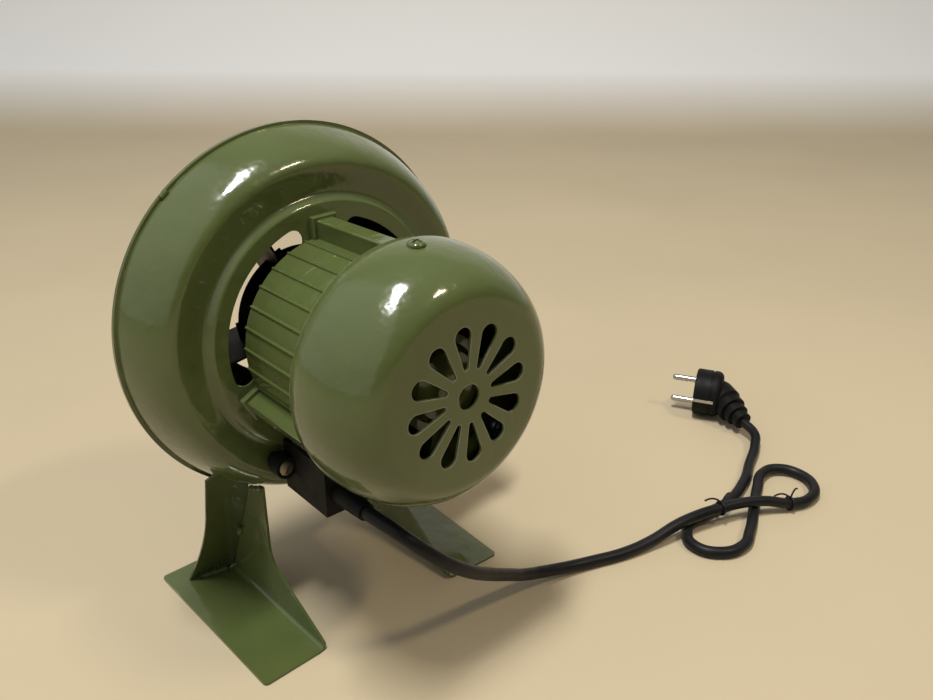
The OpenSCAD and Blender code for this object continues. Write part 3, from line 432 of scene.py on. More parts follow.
def enamel(name, a, b, wear):
    """Thick glossy enamel over pressed sheet, with soft waves and chipped edges; the lighter edge patches are
    partly worn paint and partly painted highlight.
    """
    return material(
        name,
        lambda t: blend(t, chips_and_edge_light(t, wear), blend(t, ramp(t, noise(t, PAINT_CLOUDS), 0, 1), a, b), BARE_STEEL_AND_EDGE_LIGHT),
        lambda t: ramp(t, noise(t, GLOSS_CLOUDS), *PAINT_ROUGHNESS),
        lambda t: bumps(t, [(noise(t, scale, detail), height) for scale, detail, height in PAINT_WAVES]),
        Specular_IOR_Level=0.35,
        Coat_Weight=0.5,
        Coat_Roughness=0.04,
    )


def satin(name, a, b, rough, grain, height, **values):
    """A dull surface of two close colours with a fine grain."""
    return material(
        name,
        lambda t: blend(t, ramp(t, noise(t, SATIN_CLOUDS), 0, 1), a, b),
        lambda t: ramp(t, noise(t, SATIN_GLOSS_CLOUDS), rough - SATIN_SPREAD[0], rough + SATIN_SPREAD[1]),
        lambda t: bumps(t, [(noise(t, grain, 2.0), height)]),
        **values,
    )


MATERIALS = {
    "green_paint": enamel("green_enamel", *GREEN, FEW_CHIPS),
    # The darker enamel paints the shade of the casing into the gussets' colour
    "dark_green_paint": enamel("shaded_green_enamel", *SHADED_GREEN, FEW_CHIPS),
    "black_paint": satin(
        "black_paint", (0.003, 0.003, 0.003), (0.006, 0.006, 0.006),
        0.5, 600, 0.00002, Specular_IOR_Level=0.25,
    ),
    "black_plastic": satin(
        "black_plastic", (0.004, 0.004, 0.004), (0.007, 0.007, 0.007),
        0.5, 900, 0.00002, Specular_IOR_Level=0.12,
    ),
    "black_rubber": satin(
        "black_rubber", (0.006, 0.006, 0.007), (0.01, 0.01, 0.011),
        0.42, 700, 0.00003, Specular_IOR_Level=0.2,
    ),
    "aluminium": satin(
        "aluminium", (0.55, 0.56, 0.57), (0.63, 0.64, 0.65), 0.35, 500, 0.00002, Metallic=1.0
    ),
    "laminations": satin(
        "laminations", (0.2, 0.21, 0.22), (0.3, 0.3, 0.31), 0.42, 800, 0.00002, Metallic=1.0
    ),
    "copper": satin("copper", (0.5, 0.2, 0.07), (0.6, 0.27, 0.1), 0.3, 900, 0.00005, Metallic=1.0),
    "brass": satin("brass", (0.56, 0.4, 0.17), (0.66, 0.5, 0.25), 0.28, 600, 0.00002, Metallic=1.0),
    "cream_plastic": satin("cream_plastic", (0.6, 0.57, 0.46), (0.68, 0.65, 0.54), 0.45, 700, 0.00002),
    "nickel": satin("nickel", (0.4, 0.39, 0.37), (0.5, 0.49, 0.47), 0.24, 500, 0.00001, Metallic=1.0),
    "steel": satin("steel", (0.46, 0.47, 0.48), (0.56, 0.57, 0.58), 0.3, 600, 0.00001, Metallic=1.0),
}
# The cowl's many light edge patches are worn paint and also a painted highlight along its petal edges
WORN_AND_EDGE_LIT_GREEN = enamel("worn_and_edge_lit_green_enamel", *GREEN, MANY_CHIPS_AND_EDGE_LIGHT)
DULL_ZINC = satin("dull_zinc", (0.2, 0.17, 0.12), (0.32, 0.28, 0.21), 0.42, 700, 0.00002, Metallic=1.0)


def dress(obj, slot, body, *nodes):
    """Gives a piece its material, the body that it rides on and the CAD nodes that it stands for."""
    obj.data.materials.clear()
    obj.data.materials.append(MATERIALS[slot])
    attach(obj, body)
    if nodes:
        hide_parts(*nodes)
    return obj


# Casing
def casing_path():
    """Section of a shell from its seam flange to its raised disc, as radius and depth."""
    body_r = RIM_R - SEAM_W
    bulge = []
    for i in range(BULGE_STEPS + 1):
        t = math.pi / 2 * i / BULGE_STEPS
        bulge.append(
            (
                CREST_R + (body_r - CREST_R) * math.cos(t),
                SHEET + (CREST_D - SHEET) * math.sin(t) ** (2 / BULGE_POWER),
            )
        )
    path = bulge + ease((CREST_R, CREST_D), (VALLEY_R, VALLEY_D), EASE_STEPS)
    return path + ease((VALLEY_R, VALLEY_D), (DISC_R, DISC_D), EASE_STEPS)


def on_trunk():
    """Millimetres about the trunk, whose axis lies below the shaft."""
    return Matrix.Translation(SHAFT - Vector((0, 0, TRUNK_DROP * MM))) @ Matrix.Scale(MM, 4)


def trunk(name, grow, more):
    """The solid outlet trunk, grown all round and lengthened at its mouth."""
    section = [
        (0, TRUNK_START - grow), (TRUNK_START_R + grow, TRUNK_START - grow), (TRUNK_R + grow, TRUNK_FULL_X),
        (TRUNK_R + grow, TRUNK_END + more), (0, TRUNK_END + more),
    ]
    return lathe(name, section, MEDIUM, "X", on_trunk())


def seam_flange(side):
    """The flat flange of a shell round the casing and along the trunk."""
    y = sorted((SEAM_GAP * side, side * SHEET))
    inner = RIM_R - SEAM_REACH
    ring = lathe("ring", [(inner, y[0]), (RIM_R, y[0]), (RIM_R, y[1]), (inner, y[1])], VERY_FINE)
    reach = TRUNK_R + TRUNK_LIP
    return ring, slab("tail", (0, y[0], -TRUNK_DROP - reach), (TRUNK_END, y[1], -TRUNK_DROP + reach))


def arc_slot(angle):
    """Cutter for a round-ended slot along an arc of the disc."""
    mid, half = (SLOT_RO + SLOT_RI) / 2, (SLOT_RO - SLOT_RI) / 2
    reach = SLOT_SPAN / 2 - math.degrees(half / mid)
    low, high = angle - reach, angle + reach
    a, b = math.radians(low), math.radians(high)
    outline = arc((0, 0), SLOT_RO, low, high, 48)
    outline += arc((mid * math.cos(b), mid * math.sin(b)), half, high, high + 180, 16)[1:]
    outline += arc((0, 0), SLOT_RI, high, low, 48)[1:]
    outline += arc((mid * math.cos(a), mid * math.sin(a)), half, low + 180, low + 360, 16)[1:-1]
    return prism("slot", outline, -DISC_D - OVERRUN, -DISC_D + SLOT_CUT)


def shell(name, path, side, cap):
    """One pressed shell with its half of the trunk."""
    body_r = RIM_R - SEAM_W
    inner = inset(path, SHEET)
    solid = [(0, 0), (body_r, 0)] + path[:-1] + [(path[-1][0], cap), (0, cap)]
    hollow = [(0, -OVERRUN), (body_r - SHEET, -OVERRUN)] + inner + [(0, inner[-1][1])]
    obj = lathe(name, [(r, side * d) for r, d in solid], VERY_FINE)
    y = sorted((0, -side * TRUNK_CUTTER_Y))
    low, high = zip(TRUNK_CUTTER_X, y, TRUNK_CUTTER_Z)
    tail = combine(trunk("trunk", 0, 0), "DIFFERENCE", slab("half", low, high))
    combine(obj, "UNION", tail, *seam_flange(side))
    cutter = lathe("hollow", [(r, side * d) for r, d in hollow], VERY_FINE)
    return combine(obj, "DIFFERENCE", cutter, trunk("bore", -SHEET, OVERRUN))


def disc_hole(name, r, near, far, sides):
    """Cutter for a round hole about the shaft between two depths."""
    return lathe(name, [(0, near), (r, near), (r, far), (0, far)], sides)


def rear_casing():
    """Rear shell, with three arc slots and the shaft hole in its disc."""
    obj = shell("rear_casing_skin", casing_path(), -1, DISC_D)
    cutters = [arc_slot(SLOT_ANGLE + 360 / LUGS * i) for i in range(LUGS)]
    hole = disc_hole("hole", SHAFT_HOLE_R, -DISC_D - OVERRUN, -DISC_D + SHAFT_HOLE_CUT, MEDIUM)
    combine(obj, "DIFFERENCE", hole, *cutters)
    return dress(smooth(obj), "green_paint", ROOT, "rear_casing")


def front_casing():
    """Front shell, rolled inwards round the inlet eye."""
    end = DISC_D - EYE_ROLL
    path = casing_path() + arc((EYE_R + EYE_ROLL, end), EYE_ROLL, 90, 180, 20)
    obj = shell("front_casing_skin", path, 1, end - EYE_LIP)
    return dress(smooth(obj), "green_paint", ROOT, "front_casing")


# Motor
def motor_housing():
    """Ribbed barrel, with plain strips where the lug bars stand."""
    front, back = -DISC_D, -DISC_D - MOTOR_LEN
    outline = []
    half = math.degrees(RIB_W / 2 / MOTOR_R)
    ribs = round(360 / RIB_PITCH)
    for k in range(ribs):
        a = LUG_ANGLE + k * RIB_PITCH
        if k % (ribs // LUGS):
            for turn, lift in RIB_SECTION:
                outline.append(turned_point(MOTOR_R + RIB_H * lift, a + half * turn, 0)[::2])
        else:
            outline.append(turned_point(MOTOR_R, a, 0)[::2])
        for i in range(1, RIB_STEPS):
            step = half + (RIB_PITCH - 2 * half) * i / RIB_STEPS
            outline.append(turned_point(MOTOR_R, a + step, 0)[::2])
    obj = prism("motor_housing_skin", outline, back, front)
    eye, step = MOTOR_BORE - BORE_LIP, front - BORE_LIP
    bore = [
        (0, back - OVERRUN), (MOTOR_BORE, back - OVERRUN), (MOTOR_BORE, step), (eye, step),
        (eye, front + OVERRUN), (0, front + OVERRUN),
    ]
    combine(obj, "DIFFERENCE", lathe("bore", bore, FINE))
    return dress(soften(smooth(obj, 50), HOUSING_EDGE, angle=60), "green_paint", ROOT, "motor_housing")


def lugs():
    """Bars along the barrel, each on a foot pad against the disc."""
    front, back, root = -DISC_D, -DISC_D - MOTOR_LEN, MOTOR_R - LUG_ROOT
    for i, a in enumerate(LUG_TURNS):
        bar = slab(f"lug_bar_{i}", (root, back, -LUG_W / 2), (LUG_R, front - LUG_SHORT, LUG_W / 2), a)
        pad = slab(f"lug_pad_{i}", (root, front - PAD_T, -PAD_W / 2), (PAD_R, front, PAD_W / 2), a)
        for obj, width in ((bar, LUG_EDGE), (pad, PAD_EDGE)):
            dress(soften(smooth(obj), width, 3), "green_paint", ROOT)


# Cowl
def cowl_path():
    """Section of the cowl from its skirt to its flat face, as radius and depth."""
    path = [(COWL_R, 0.0), (COWL_R + COWL_LIP[0], COWL_LIP[1])]
    for i in range(COWL_STEPS + 1):
        t = math.pi / 2 * i / COWL_STEPS
        path.append(
            (
                COWL_FLAT_R + (COWL_MAX_R - COWL_FLAT_R) * math.cos(t),
                COWL_SKIRT + (COWL_END - COWL_FRONT - COWL_SKIRT) * math.sin(t),
            )
        )
    return path


def petal(angle):
    """Cutter for a vent shaped like a drop."""
    lean = math.degrees(math.asin((PETAL_OUT_R - PETAL_IN_R) / (PETAL_OUT - PETAL_IN)))
    outline = arc((PETAL_OUT, 0), PETAL_OUT_R, -90 - lean, 90 + lean, 32)
    outline += arc((PETAL_IN, 0), PETAL_IN_R, 90 + lean, 270 - lean, 12)
    a = math.radians(angle)
    turned = [(x * math.cos(a) - z * math.sin(a), x * math.sin(a) + z * math.cos(a)) for x, z in outline]
    return prism("petal", turned, -COWL_END - OVERRUN, -COWL_END + COWL_T + OVERRUN)


def motor_cowl():
    """Pressed cap with a ring of vents and a hole in the middle."""
    outer = cowl_path()
    inner = inset(outer, COWL_T)
    depth = COWL_END - COWL_FRONT
    ring = outer + [(0, depth), (0, depth - COWL_T)] + inner[::-1]
    obj = lathe("motor_cowl_skin", [(r, -COWL_FRONT - d) for r, d in ring], VERY_FINE)
    hub = disc_hole("hub", HUB_HOLE_R, -COWL_END - OVERRUN, -COWL_END + HUB_HOLE_CUT, COARSE)
    cutters = [petal(PETAL_ANGLE + 360 * i / PETALS) for i in range(PETALS)]
    combine(obj, "DIFFERENCE", hub, *cutters)
    dress(soften(smooth(obj), COWL_EDGE, angle=40), "green_paint", ROOT, "motor_cowl")
    # Worn paint and a painted highlight along the cowl's petal edges
    obj.data.materials[0] = WORN_AND_EDGE_LIT_GREEN


# Screws and terminal box
def screw_head(name, place, turns):
    """An oval head with driving slots, standing on Z = 0 of its place."""
    neck, rise = SCREW_R - SCREW_NECK, 1 - SCREW_EDGE
    profile = [(0, -SCREW_ROOT), (neck, -SCREW_ROOT), (neck, 0), (SCREW_R, 0)]
    profile += [(SCREW_R * c, SCREW_H * (SCREW_EDGE + rise * s)) for c, s in arc((0, 0), 1.0, 0, 90, 12)]
    obj = lathe(name, profile, COARSE, "Z", place)
    reach = SCREW_R * SCREW_SLOT_SHARE
    low = (-reach, -SCREW_SLOT_W / 2, SCREW_H - SCREW_SLOT_D)
    high = (reach, SCREW_SLOT_W / 2, SCREW_H + OVERRUN)
    for turn in turns:
        turned = place @ Matrix.Rotation(math.radians(turn), 4, "Z")
        combine(obj, "DIFFERENCE", slab("driver", low, high, 0, turned))
    return obj


def cowl_screws():
    """Painted heads, worn to the metal in their cross slots."""
    heads, drives = [], []
    for i in COWL_SCREW_LUGS:
        place = (
            Matrix.Translation(SHAFT)
            @ Matrix.Rotation(-math.radians(LUG_TURNS[i]), 4, "Y")
            @ Matrix.Translation(Vector((COWL_SCREW_R, COWL_SCREW_Y, 0)) * MM)
            @ Matrix.Rotation(math.radians(90), 4, "Y")
            @ Matrix.Scale(MM, 4)
        )
        heads.append(screw_head(f"cowl_screw_{i}", place, COWL_SLOT_TURNS))
        r, floor = SCREW_R * DRIVE_SHARE, SCREW_H - SCREW_SLOT_D
        disc = [(0, floor - DRIVE_T), (r, floor - DRIVE_T), (r, floor + SLIP), (0, floor + SLIP)]
        drives.append(lathe(f"cowl_drive_{i}", disc, ROUGH, "Z", place))
    painted = soften(smooth(combine(heads[0], "UNION", *heads[1:]), 40), HEAD_EDGE, angle=45)
    dress(painted, "green_paint", ROOT, "cowl_screws")
    dress(smooth(combine(drives[0], "UNION", *drives[1:])), "steel", ROOT)


def terminal_box():
    """The box, open towards the casing, with a round ear and its screw on either side."""
    obj = slab("terminal_box_skin", (-BOX_HALF_W, -BOX_BACK, -BOX_BOTTOM), (BOX_HALF_W, -BOX_FRONT, -BOX_TOP))
    low = (-BOX_HALF_W + BOX_WALL, -BOX_BACK + BOX_WALL, -BOX_BOTTOM + BOX_WALL)
    high = (BOX_HALF_W - BOX_WALL, -BOX_FRONT + BOX_WALL, -BOX_TOP - BOX_WALL)
    inside, ears, heads = slab("inside", low, high), [], []
    for side in (-1, 1):
        at_ear = Matrix.Translation(SHAFT + Vector((side * EAR_PLACE[0], 0, EAR_PLACE[1])) * MM)
        seat, far = -EAR_BACK + EAR_SINK, -VALLEY_D - SEAT_GAP
        ear = [
            (0, seat), (EAR_SINK_R, seat), (EAR_SINK_R, -EAR_BACK), (EAR_R, -EAR_BACK),
            (EAR_R, -BOX_FRONT), (EAR_BOSS_R, -BOX_FRONT), (EAR_BOSS_R, far), (0, far),
        ]
        ears.append(lathe("ear", ear, MEDIUM, "Y", at_ear @ Matrix.Scale(MM, 4)))
        place = (
            at_ear
            @ Matrix.Translation(Vector((0, seat, 0)) * MM)
            @ Matrix.Rotation(math.radians(90), 4, "X")
            @ Matrix.Scale(MM, 4)
        )
        heads.append(screw_head(f"ear_screw_{side}", place, EAR_SLOT_TURNS))
    combine(combine(obj, "DIFFERENCE", inside), "UNION", *ears)
    dress(soften(smooth(obj), BOX_EDGE, angle=40), "black_plastic", ROOT, "terminal_box")
    screws = soften(smooth(combine(heads[0], "UNION", heads[1]), 40), HEAD_EDGE, angle=45)
    dress(screws, "brass", ROOT, "terminal_screws")
    screws.data.materials[0] = DULL_ZINC


# Stand
def weld(name, path):
    """A lumpy bead along a path about the shaft."""
    points = []
    for a, b in zip(path, path[1:]):
        n = max(1, round((Vector(b) - Vector(a)).length / WELD_STEP))
        points += [Vector(a).lerp(Vector(b), i / n) for i in range(n)]
    points.append(Vector(path[-1]))
    places = [p + SHAFT / MM for p in points]

    def swell(i):
        return 1 + WELD_LUMP * sum(math.sin(b * i + b) for b in WELD_BEATS)

    return dress(tube(name, [places], WELD_R, swell), "green_paint", ROOT)


def rim_tacks():
    """Short beads that hold the two shells at the seam."""
    for i, a in enumerate(TACK_ANGLES):
        turns = (a - TACK_SPAN / 2, a + TACK_SPAN / 2)
        weld(f"rim_tack_{i}", [turned_point(RIM_R - WELD_R / 2, t, -WELD_R / 2) for t in turns])


def toed(side, point):
    """A point of a foot, from the floor up, turned in and set on its side of the casing."""
    a = -math.radians(FOOT_TOE)
    dx, y = point[0] - FOOT_IN, point[1]
    x = FOOT_IN + dx * math.cos(a) - y * math.sin(a)
    return (side * x, dx * math.sin(a) + y * math.cos(a), point[2] - SHAFT_H)


DOME = casing_path()[:BULGE_STEPS + 1]


def in_casing(point, gap):
    """Whether a point about the shaft lies inside the casing grown by a gap."""
    x, y, z = point
    r, d = math.hypot(x, z), abs(y)
    if x > TRUNK_FULL_X and math.hypot(y, z + TRUNK_DROP) < TRUNK_R + gap:
        return True
    if d < SHEET + gap and (r < RIM_R + gap or (x > 0 and abs(z + TRUNK_DROP) < TRUNK_R + TRUNK_LIP + gap)):
        return True
    if r < CREST_R:
        return d < CREST_D + gap
    return any(math.hypot(r - a, d - b) < gap for a, b in DOME) or any(r < a and d < b for a, b in DOME)


def reach_casing(side, start, run, gap, far):
    """How far a line from a point of a foot runs before it meets the casing."""
    low, high = 0.0, None
    for i in range(1, REACH_STEPS + 1):
        t = far * i / REACH_STEPS
        if in_casing(toed(side, [p + t * v for p, v in zip(start, run)]), gap):
            high = t
            break
        low = t
    if high is None:
        return far
    for _ in range(REACH_HALVINGS):
        mid = (low + high) / 2
        if in_casing(toed(side, [p + mid * v for p, v in zip(start, run)]), gap):
            high = mid
        else:
            low = mid
    return low


def sheet_piece(name, points, faces, thickness, slot, node):
    """A bent sheet drawn as its outer skin, thickened inwards with softened edges."""
    obj = mesh_piece(name, points, faces)
    body = obj.modifiers.new("sheet", "SOLIDIFY")
    body.thickness = abs(thickness) * MM
    body.offset = math.copysign(1.0, thickness)
    body.use_even_offset = True
    return dress(soften(smooth(obj, 40), FOOT_EDGE, 3, 50), slot, ROOT, node)


def foot(side, node):
    """A sheet bent into a base on the floor and an upright under the casing."""
    r = FOOT_BEND + FOOT_T
    front = GUSSET_Y + POST_LAP
    lip = r - math.sqrt(r * r - (r - FOOT_T) ** 2)
    heel = TOE_H - FOOT_T
    angle = math.radians(FLARE_ANGLE)
    flare_z = TOE_H + (FOOT_BACK - POST_BACK - POST_FLARE) * math.tan(angle) + POST_FLARE / math.cos(angle)
    slope = math.tan(math.radians(GUSSET_LEAN))

    def top(y):
        """Height of the upright under the casing."""
        return reach_casing(side, (FOOT_IN, y, r), (0, 0, 1), POST_GAP, SHAFT_H) + r

    # The front edge of the upright leans, so its upper end is where the lean meets the casing
    lean = reach_casing(side, (FOOT_IN, front, FOOT_T), (0, -slope, 1), POST_GAP, SHAFT_H)
    y_top = front - slope * lean
    back = arc((-POST_BACK - POST_FLARE, flare_z), POST_FLARE, 0, FLARE_ANGLE - 90, FLARE_STEPS)
    post = [(front - slope * (r - FOOT_T), r), (y_top, FOOT_T + lean)]
    for i in range(1, POST_STEPS + 1):
        y = y_top + (-POST_BACK - y_top) * i / POST_STEPS
        post.append((y, top(y)))
    post += back + arc((-FOOT_BACK + heel, FOOT_T), heel, 90 + FLARE_ANGLE, HEEL_END, HEEL_STEPS)
    corner_x = FOOT_HALF_W - FOOT_CORNER
    tail = arc((corner_x, -FOOT_BACK + FOOT_CORNER), FOOT_CORNER, -90, 0, CORNER_STEPS)
    nose = arc((corner_x, FOOT_FRONT - FOOT_CORNER), FOOT_CORNER, 0, 90, CORNER_STEPS)
    start_y = post[-1][0]
    points, faces = [], []

    def put(*added):
        """Adds points of the foot and gives their numbers."""
        points.extend(toed(side, p) for p in added)
        return list(range(len(points) - len(added), len(points)))

    upright = put(*[(FOOT_IN, y, z) for y, z in post])
    bend = []
    for k in range(BEND_STEPS + 1):
        a = math.radians(180 + 90 * k / BEND_STEPS)
        x, z = FOOT_IN + r + r * math.cos(a), r + r * math.sin(a)
        y0 = post[0][0] + (front - post[0][0]) * k / BEND_STEPS
        y1 = start_y + (-FOOT_BACK - start_y) * k / BEND_STEPS
        bend.append(put((x, y0, z), (x, y1, z)))
    low = put(*[(x, y, 0) for x, y in tail + nose], (FOOT_IN + lip, FOOT_FRONT, 0), (FOOT_IN + lip, front, 0))
    faces.append(tuple(upright[1:] + [bend[0][1], bend[0][0]]))
    faces += [(a[0], a[1], b[1], b[0]) for a, b in zip(bend, bend[1:])]
    faces.append(tuple([bend[-1][1]] + low + [bend[-1][0]]))
    y_weld = y_top + (-POST_BACK - y_top) * WELD_FROM
    spots = (y_weld, (y_weld - POST_BACK) / 2, -POST_BACK + WELD_R)
    ridge = [(FOOT_IN + FOOT_T / 2, y, top(y)) for y in spots]
    weld(node + "_top_weld", [toed(side, p) for p in ridge])
    return sheet_piece(node + "_skin", points, faces, -FOOT_T, "green_paint", node)


def gusset(side, node):
    """A leaning plate between the upright, the base and the casing."""
    turn, lean = math.radians(GUSSET_TURN), math.radians(GUSSET_LEAN)
    base = (FOOT_IN + FOOT_T + SLIP, GUSSET_Y, FOOT_T + SLIP)
    out = (math.cos(turn), math.sin(turn), 0.0)
    up = (math.sin(lean) * math.sin(turn), -math.sin(lean) * math.cos(turn), math.cos(lean))

    def at(u, w):
        """A point of the plate, out from the upright and up its lean."""
        return [b + u * o + w * v for b, o, v in zip(base, out, up)]

    def inner(w):
        """Where the plate meets the face of the upright."""
        return -w * up[0] / out[0]

    def edge(w):
        """The outer edge, flared towards the base."""
        if w >= NECK_H:
            return GUSSET_W
        return GUSSET_W + NECK_R - math.sqrt(NECK_R ** 2 - (NECK_H - w) ** 2)

    heights = [NECK_H * i / GUSSET_STEPS for i in range(GUSSET_STEPS + 1)]
    outer = [(edge(w), w) for w in heights]
    u1 = GUSSET_W - GUSSET_CUT[0]
    top = NECK_H + reach_casing(side, at(u1, NECK_H), up, SEAT_GAP, RIM_R)
    outer += [(GUSSET_W, top - GUSSET_CUT[1]), (u1, top)]
    u0 = inner(outer[-1][1])
    rim = []
    for i in range(1, GUSSET_STEPS + 1):
        u = u1 + (u0 - u1) * i / GUSSET_STEPS
        rim.append((u, reach_casing(side, at(u, 0), up, SEAT_GAP, SHAFT_H)))
    rim[-1] = (inner(rim[-1][1]), rim[-1][1])
    clear = FOOT_BEND + SEAT_GAP
    outline = outer + rim + [(inner(clear), clear), (clear, 0)]
    points = [toed(side, at(u, w)) for u, w in outline]

    def seam(*places):
        """A bead on the rear side of the plate."""
        spots = [at(u, w) for u, w in places]
        return [toed(side, (x, y - WELD_R / 3, z)) for x, y, z in spots]

    weld(node + "_base_weld", seam((clear + WELD_R, WELD_R / 2), (GUSSET_W * BASE_WELD, WELD_R / 2)))
    post_weld = [NECK_H * share for share in POST_WELD]
    weld(node + "_post_weld", seam(*[(inner(w) + WELD_R / 3, w) for w in post_weld]))
    # The gusset takes the darker enamel: painted shade under the casing
    return sheet_piece(node + "_skin", points, [tuple(range(len(points)))], FOOT_T, "dark_green_paint", node)


# Outlet pipe
def outlet_pipe():
    """Spigot, held in the end of the trunk."""
    r, spigot = TRUNK_R - SHEET - SLIP, TRUNK_R - PIPE_EDGE
    bore, start = r - PIPE_WALL, TRUNK_END - PIPE_GRIP
    ring = [
        (bore, start), (r, start), (r, TRUNK_END), (spigot, TRUNK_END),
        (spigot, PIPE_END - PIPE_EDGE), (spigot - PIPE_EDGE, PIPE_END), (bore, PIPE_END),
    ]
    obj = lathe("outlet_pipe_skin", ring, FINE, "X", on_trunk())
    return dress(smooth(obj), "green_paint", ROOT, "outlet_pipe")


# Pieces that keep their CAD mesh
def cad_piece(name, slot):
    """Gives a CAD node its material."""
    obj = frame["nodes"][name]
    obj.data.materials.clear()
    obj.data.materials.append(MATERIALS[slot])


# Cord, plug and ties
def power_cord():
    """The cord along its route from the gland to the plug."""
    return dress(tube("power_cord_skin", [CORD_ROUTE], CORD_R), "black_rubber", ROOT, "power_cord")


def plug():
    """Angled plug: a round body with a parting groove, a ribbed grip round the cord and two earth clips."""
    face = (
        Matrix.Translation(Vector(PLUG_FACE) * MM)
        @ Matrix.Rotation(math.radians(PLUG_TURN + 90), 4, "Z")
        @ Matrix.Rotation(math.radians(90), 4, "X")
        @ Matrix.Scale(MM, 4)
    )
    body = [(0, -PLUG_LEN)] + arc((PLUG_R - PLUG_ROUND, PLUG_ROUND - PLUG_LEN), PLUG_ROUND, -90, 0, 10)
    for side, depth in GROOVE_SECTION:
        body.append((PLUG_R - depth * PLUG_GROOVE, -PLUG_SEAM + side * PLUG_GROOVE))
    body += [(PLUG_R, -PLUG_CHAMFER), (PLUG_R - PLUG_CHAMFER, 0), (0, 0)]
    obj, clips = lathe("plug_body_skin", body, MEDIUM, "Z", face), []
    for side in (-1, 1):
        x = sorted((side * (PLUG_R - CLIP_T - SLIP), side * (PLUG_R + OVERRUN)))
        low, high = (x[0], -CLIP_W / 2 - SLIP, -CLIP_LEN - SLIP), (x[1], CLIP_W / 2 + SLIP, OVERRUN)
        combine(obj, "DIFFERENCE", slab("clip_slot", low, high, 0, face))
        x = sorted((side * (PLUG_R - CLIP_T), side * (PLUG_R - 2 * SLIP)))
        low, high = (x[0], -CLIP_W / 2, -CLIP_LEN), (x[1], CLIP_W / 2, -SLIP)
        clips.append(slab("plug_earth_clips_skin", low, high, 0, face))
    run = Vector(CORD_ROUTE[-1]) - Vector(GRIP_START)
    along = (
        Matrix.Translation(Vector(GRIP_START) * MM)
        @ run.to_track_quat("Z", "Y").to_matrix().to_4x4()
        @ Matrix.Scale(MM, 4)
    )
    grip = [(0, -PLUG_ROUND), (GRIP_NECK_R, -PLUG_ROUND), (GRIP_R, 0), (GRIP_R, KNUCKLE_LEN - KNUCKLE_TAPER)]
    pitch = (run.length - KNUCKLE_LEN) / GRIP_RIBS
    for i in range(GRIP_RIBS):
        z = KNUCKLE_LEN + pitch * i
        r = GRIP_NECK_R + (GRIP_END_R - GRIP_NECK_R) * i / (GRIP_RIBS - 1)
        rise, top, fall = (z + share * pitch for share in GRIP_RIB_SHARES)
        grip += [(r - GRIP_RIB_H, z), (r - GRIP_RIB_H, rise), (r, top), (r, fall)]
    grip += [(GRIP_END_R - PLUG_CHAMFER, run.length), (0, run.length)]
    combine(obj, "UNION", lathe("grip", grip, COARSE, "Z", along))
    dress(soften(smooth(obj, 35), PLUG_EDGE, angle=50), "black_plastic", ROOT, "plug_body")
    clip = soften(combine(clips[0], "UNION", clips[1]), CLIP_EDGE)
    return [obj, dress(clip, "nickel", ROOT, "plug_earth_clips")]


def tie_ends():
    """Loose ends of the wire ties on the cord."""
    lines = []
    for place in TIE_PLACES:
        start = Vector(CORD_ROUTE[place]) + Vector((0, 0, CORD_R + TIE_WIRE_R))
        for end in TIE_ENDS:
            rises = [Vector((0, 0, TIE_LIFT * math.sin(math.pi * s))) for s in TIE_SHARES]
            lines.append([start + (Vector(end) * s + rise) for s, rise in zip(TIE_SHARES, rises)])
    return dress(tube("tie_ends", lines, TIE_WIRE_R), "black_rubber", ROOT)


def route_length():
    """Length of the cord along its route, in metres."""
    spans = zip(CORD_ROUTE, CORD_ROUTE[1:])
    return sum((Vector(b) - Vector(a)).length for a, b in spans) * MM


# Stage
def stage_surface():
    """Pale warm floor that turns into a white wall as the sweep rises."""
    made = bpy.data.materials.new("stage_surface")
    made.use_nodes = True
    tree = made.node_tree
    surface = tree.nodes["Principled BSDF"]
    place = add(tree, "ShaderNodeNewGeometry")
    parts = add(tree, "ShaderNodeSeparateXYZ")
    tree.links.new(place.outputs["Position"], parts.inputs["Vector"])
    height = ramp(tree, parts.outputs["Z"], 0, 1, 0.0, WALL_START)
    colour = blend(tree, ramp(tree, noise(tree, FLOOR_CLOUDS), 0, 1), *FLOOR_COLOURS)
    tree.links.new(blend(tree, height, colour, WALL_COLOUR), surface.inputs["Base Color"])
    surface.inputs["Roughness"].default_value = STAGE_ROUGHNESS
    return made


def stage():
    """Floor and wall in one sweep, square to the camera."""
    turn = Matrix.Rotation(math.radians(CAMERA_AZIMUTH), 4, "Z")
    profile = [(-STAGE_SIZE, 0.0)]
    for a in range(0, 91, 6):
        s, c = math.sin(math.radians(a)), math.cos(math.radians(a))
        profile.append((STAGE_BACK + STAGE_SWEEP * s, STAGE_SWEEP - STAGE_SWEEP * c))
    profile.append((STAGE_BACK + STAGE_SWEEP, STAGE_RISE))
    points = [turn @ Vector((x, y, z)) for y, z in profile for x in (-STAGE_SIZE, STAGE_SIZE)]
    faces = [(2 * i, 2 * i + 1, 2 * i + 3, 2 * i + 2) for i in range(len(profile) - 1)]
    mesh = bpy.data.meshes.new("backdrop")
    mesh.from_pydata(points, [], faces)
    mesh.shade_smooth()
    obj = link("backdrop", mesh)
    obj.data.materials.append(stage_surface())


def area_light(name, towards, size, power, colour, along):
    """A rectangular light in a direction from the casing, with its long side along a direction."""
    aim = Vector(towards).normalized()
    side = Vector(along).cross(aim).normalized()
    light = bpy.data.lights.new(name, "AREA")
    light.shape = "RECTANGLE"
    light.size, light.size_y = size
    light.energy = power
    light.color = colour
    obj = link(name, light)
    turn = Matrix((side, aim.cross(side), aim)).transposed().to_4x4()
    obj.matrix_world = Matrix.Translation(Vector(LIGHT_TARGET) + LIGHT_DISTANCE * aim) @ turn


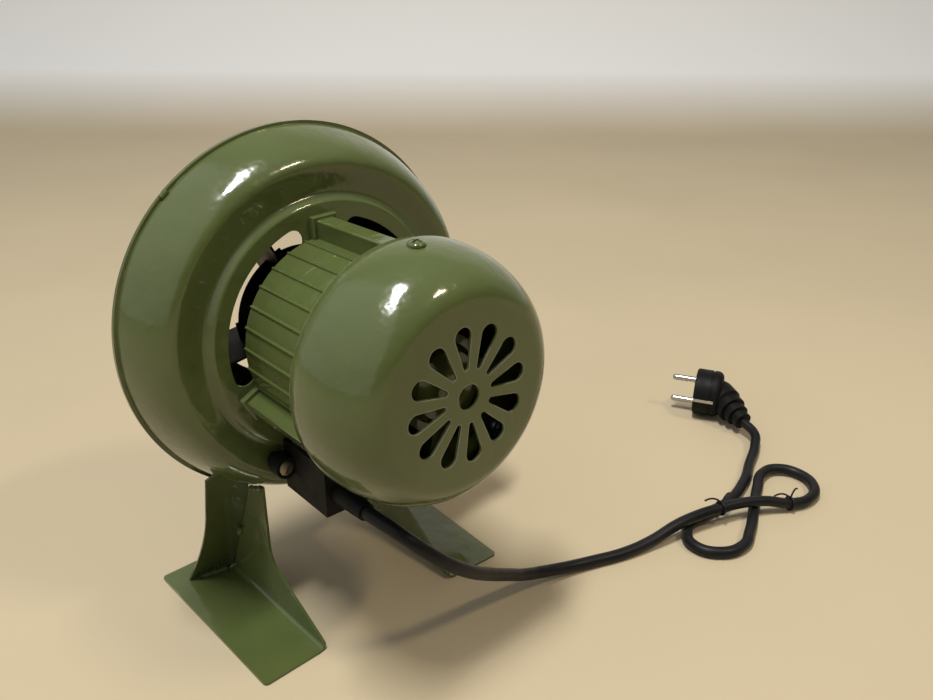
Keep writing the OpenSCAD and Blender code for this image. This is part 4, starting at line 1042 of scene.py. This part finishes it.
def lights():
    """Two lamps and the glow of a room with a pale ceiling and a bright side."""
    for name, values in LIGHTS.items():
        area_light(name, *values)
    world = bpy.data.worlds.new("room")
    bpy.context.scene.world = world
    world.use_nodes = True
    tree = world.node_tree
    sky = tree.nodes["Background"]
    sky.inputs["Color"].default_value = SKY_COLOUR
    towards = add(tree, "ShaderNodeTexCoord").outputs["Generated"]
    ceiling = ramp(tree, facing(tree, towards, CEILING_FROM), 0, CEILING_GLOW, *CEILING_FADE)
    window = ramp(tree, facing(tree, towards, WINDOW_FROM), 0, WINDOW_GLOW, *WINDOW_FADE)
    level = figure(tree, "ADD", figure(tree, "ADD", ceiling, ROOM_GLOW), window)
    tree.links.new(level, sky.inputs["Strength"])


def camera():
    """The camera of the photograph."""
    scene = bpy.context.scene
    lens = bpy.data.cameras.new("camera")
    lens.sensor_width = SENSOR_W
    lens.lens = FOCAL_PX / PHOTO_W * SENSOR_W
    lens.clip_start = NEAREST
    obj = link("camera", lens)
    a, e = math.radians(CAMERA_AZIMUTH), math.radians(CAMERA_ELEVATION)
    back = Vector((math.sin(a) * math.cos(e), -math.cos(a) * math.cos(e), math.sin(e)))
    side = Vector((0, 0, 1)).cross(back).normalized()
    up = back.cross(side)
    turn = Matrix((side, up, back)).transposed().to_4x4()
    roll = Matrix.Rotation(math.radians(CAMERA_ROLL), 4, "Z")
    dx, dy = (v * MM for v in CAMERA_FROM_SHAFT)
    place = Vector((SHAFT.x + dx, SHAFT.y + dy, CAMERA_HEIGHT * MM))
    obj.matrix_world = Matrix.Translation(place) @ turn @ roll
    scene.camera = obj
    scene.view_settings.view_transform = "Standard"


rear_casing()
front_casing()
motor_housing()
lugs()
motor_cowl()
cowl_screws()
terminal_box()
outlet_pipe()
rim_tacks()
for label, hand in (("left", -1), ("right", 1)):
    foot(hand, label + "_foot")
    gusset(hand, label + "_gusset")
cord = power_cord()
cord_pieces = plug() + [tie_ends()]

SLOTS = {part["node"]: part["material_slot"] for part in frame["record"]["subparts"]}
REPLACED = {
    "rear_casing", "front_casing", "motor_housing", "motor_cowl", "cowl_screws", "outlet_pipe",
    "left_foot", "right_foot", "left_gusset", "right_gusset", "terminal_box", "terminal_screws",
    "power_cord", "plug_body", "plug_earth_clips",
}
for part, slot in SLOTS.items():
    if part not in REPLACED:
        cad_piece(part, slot)

route_length()

stage()
lights()
camera()
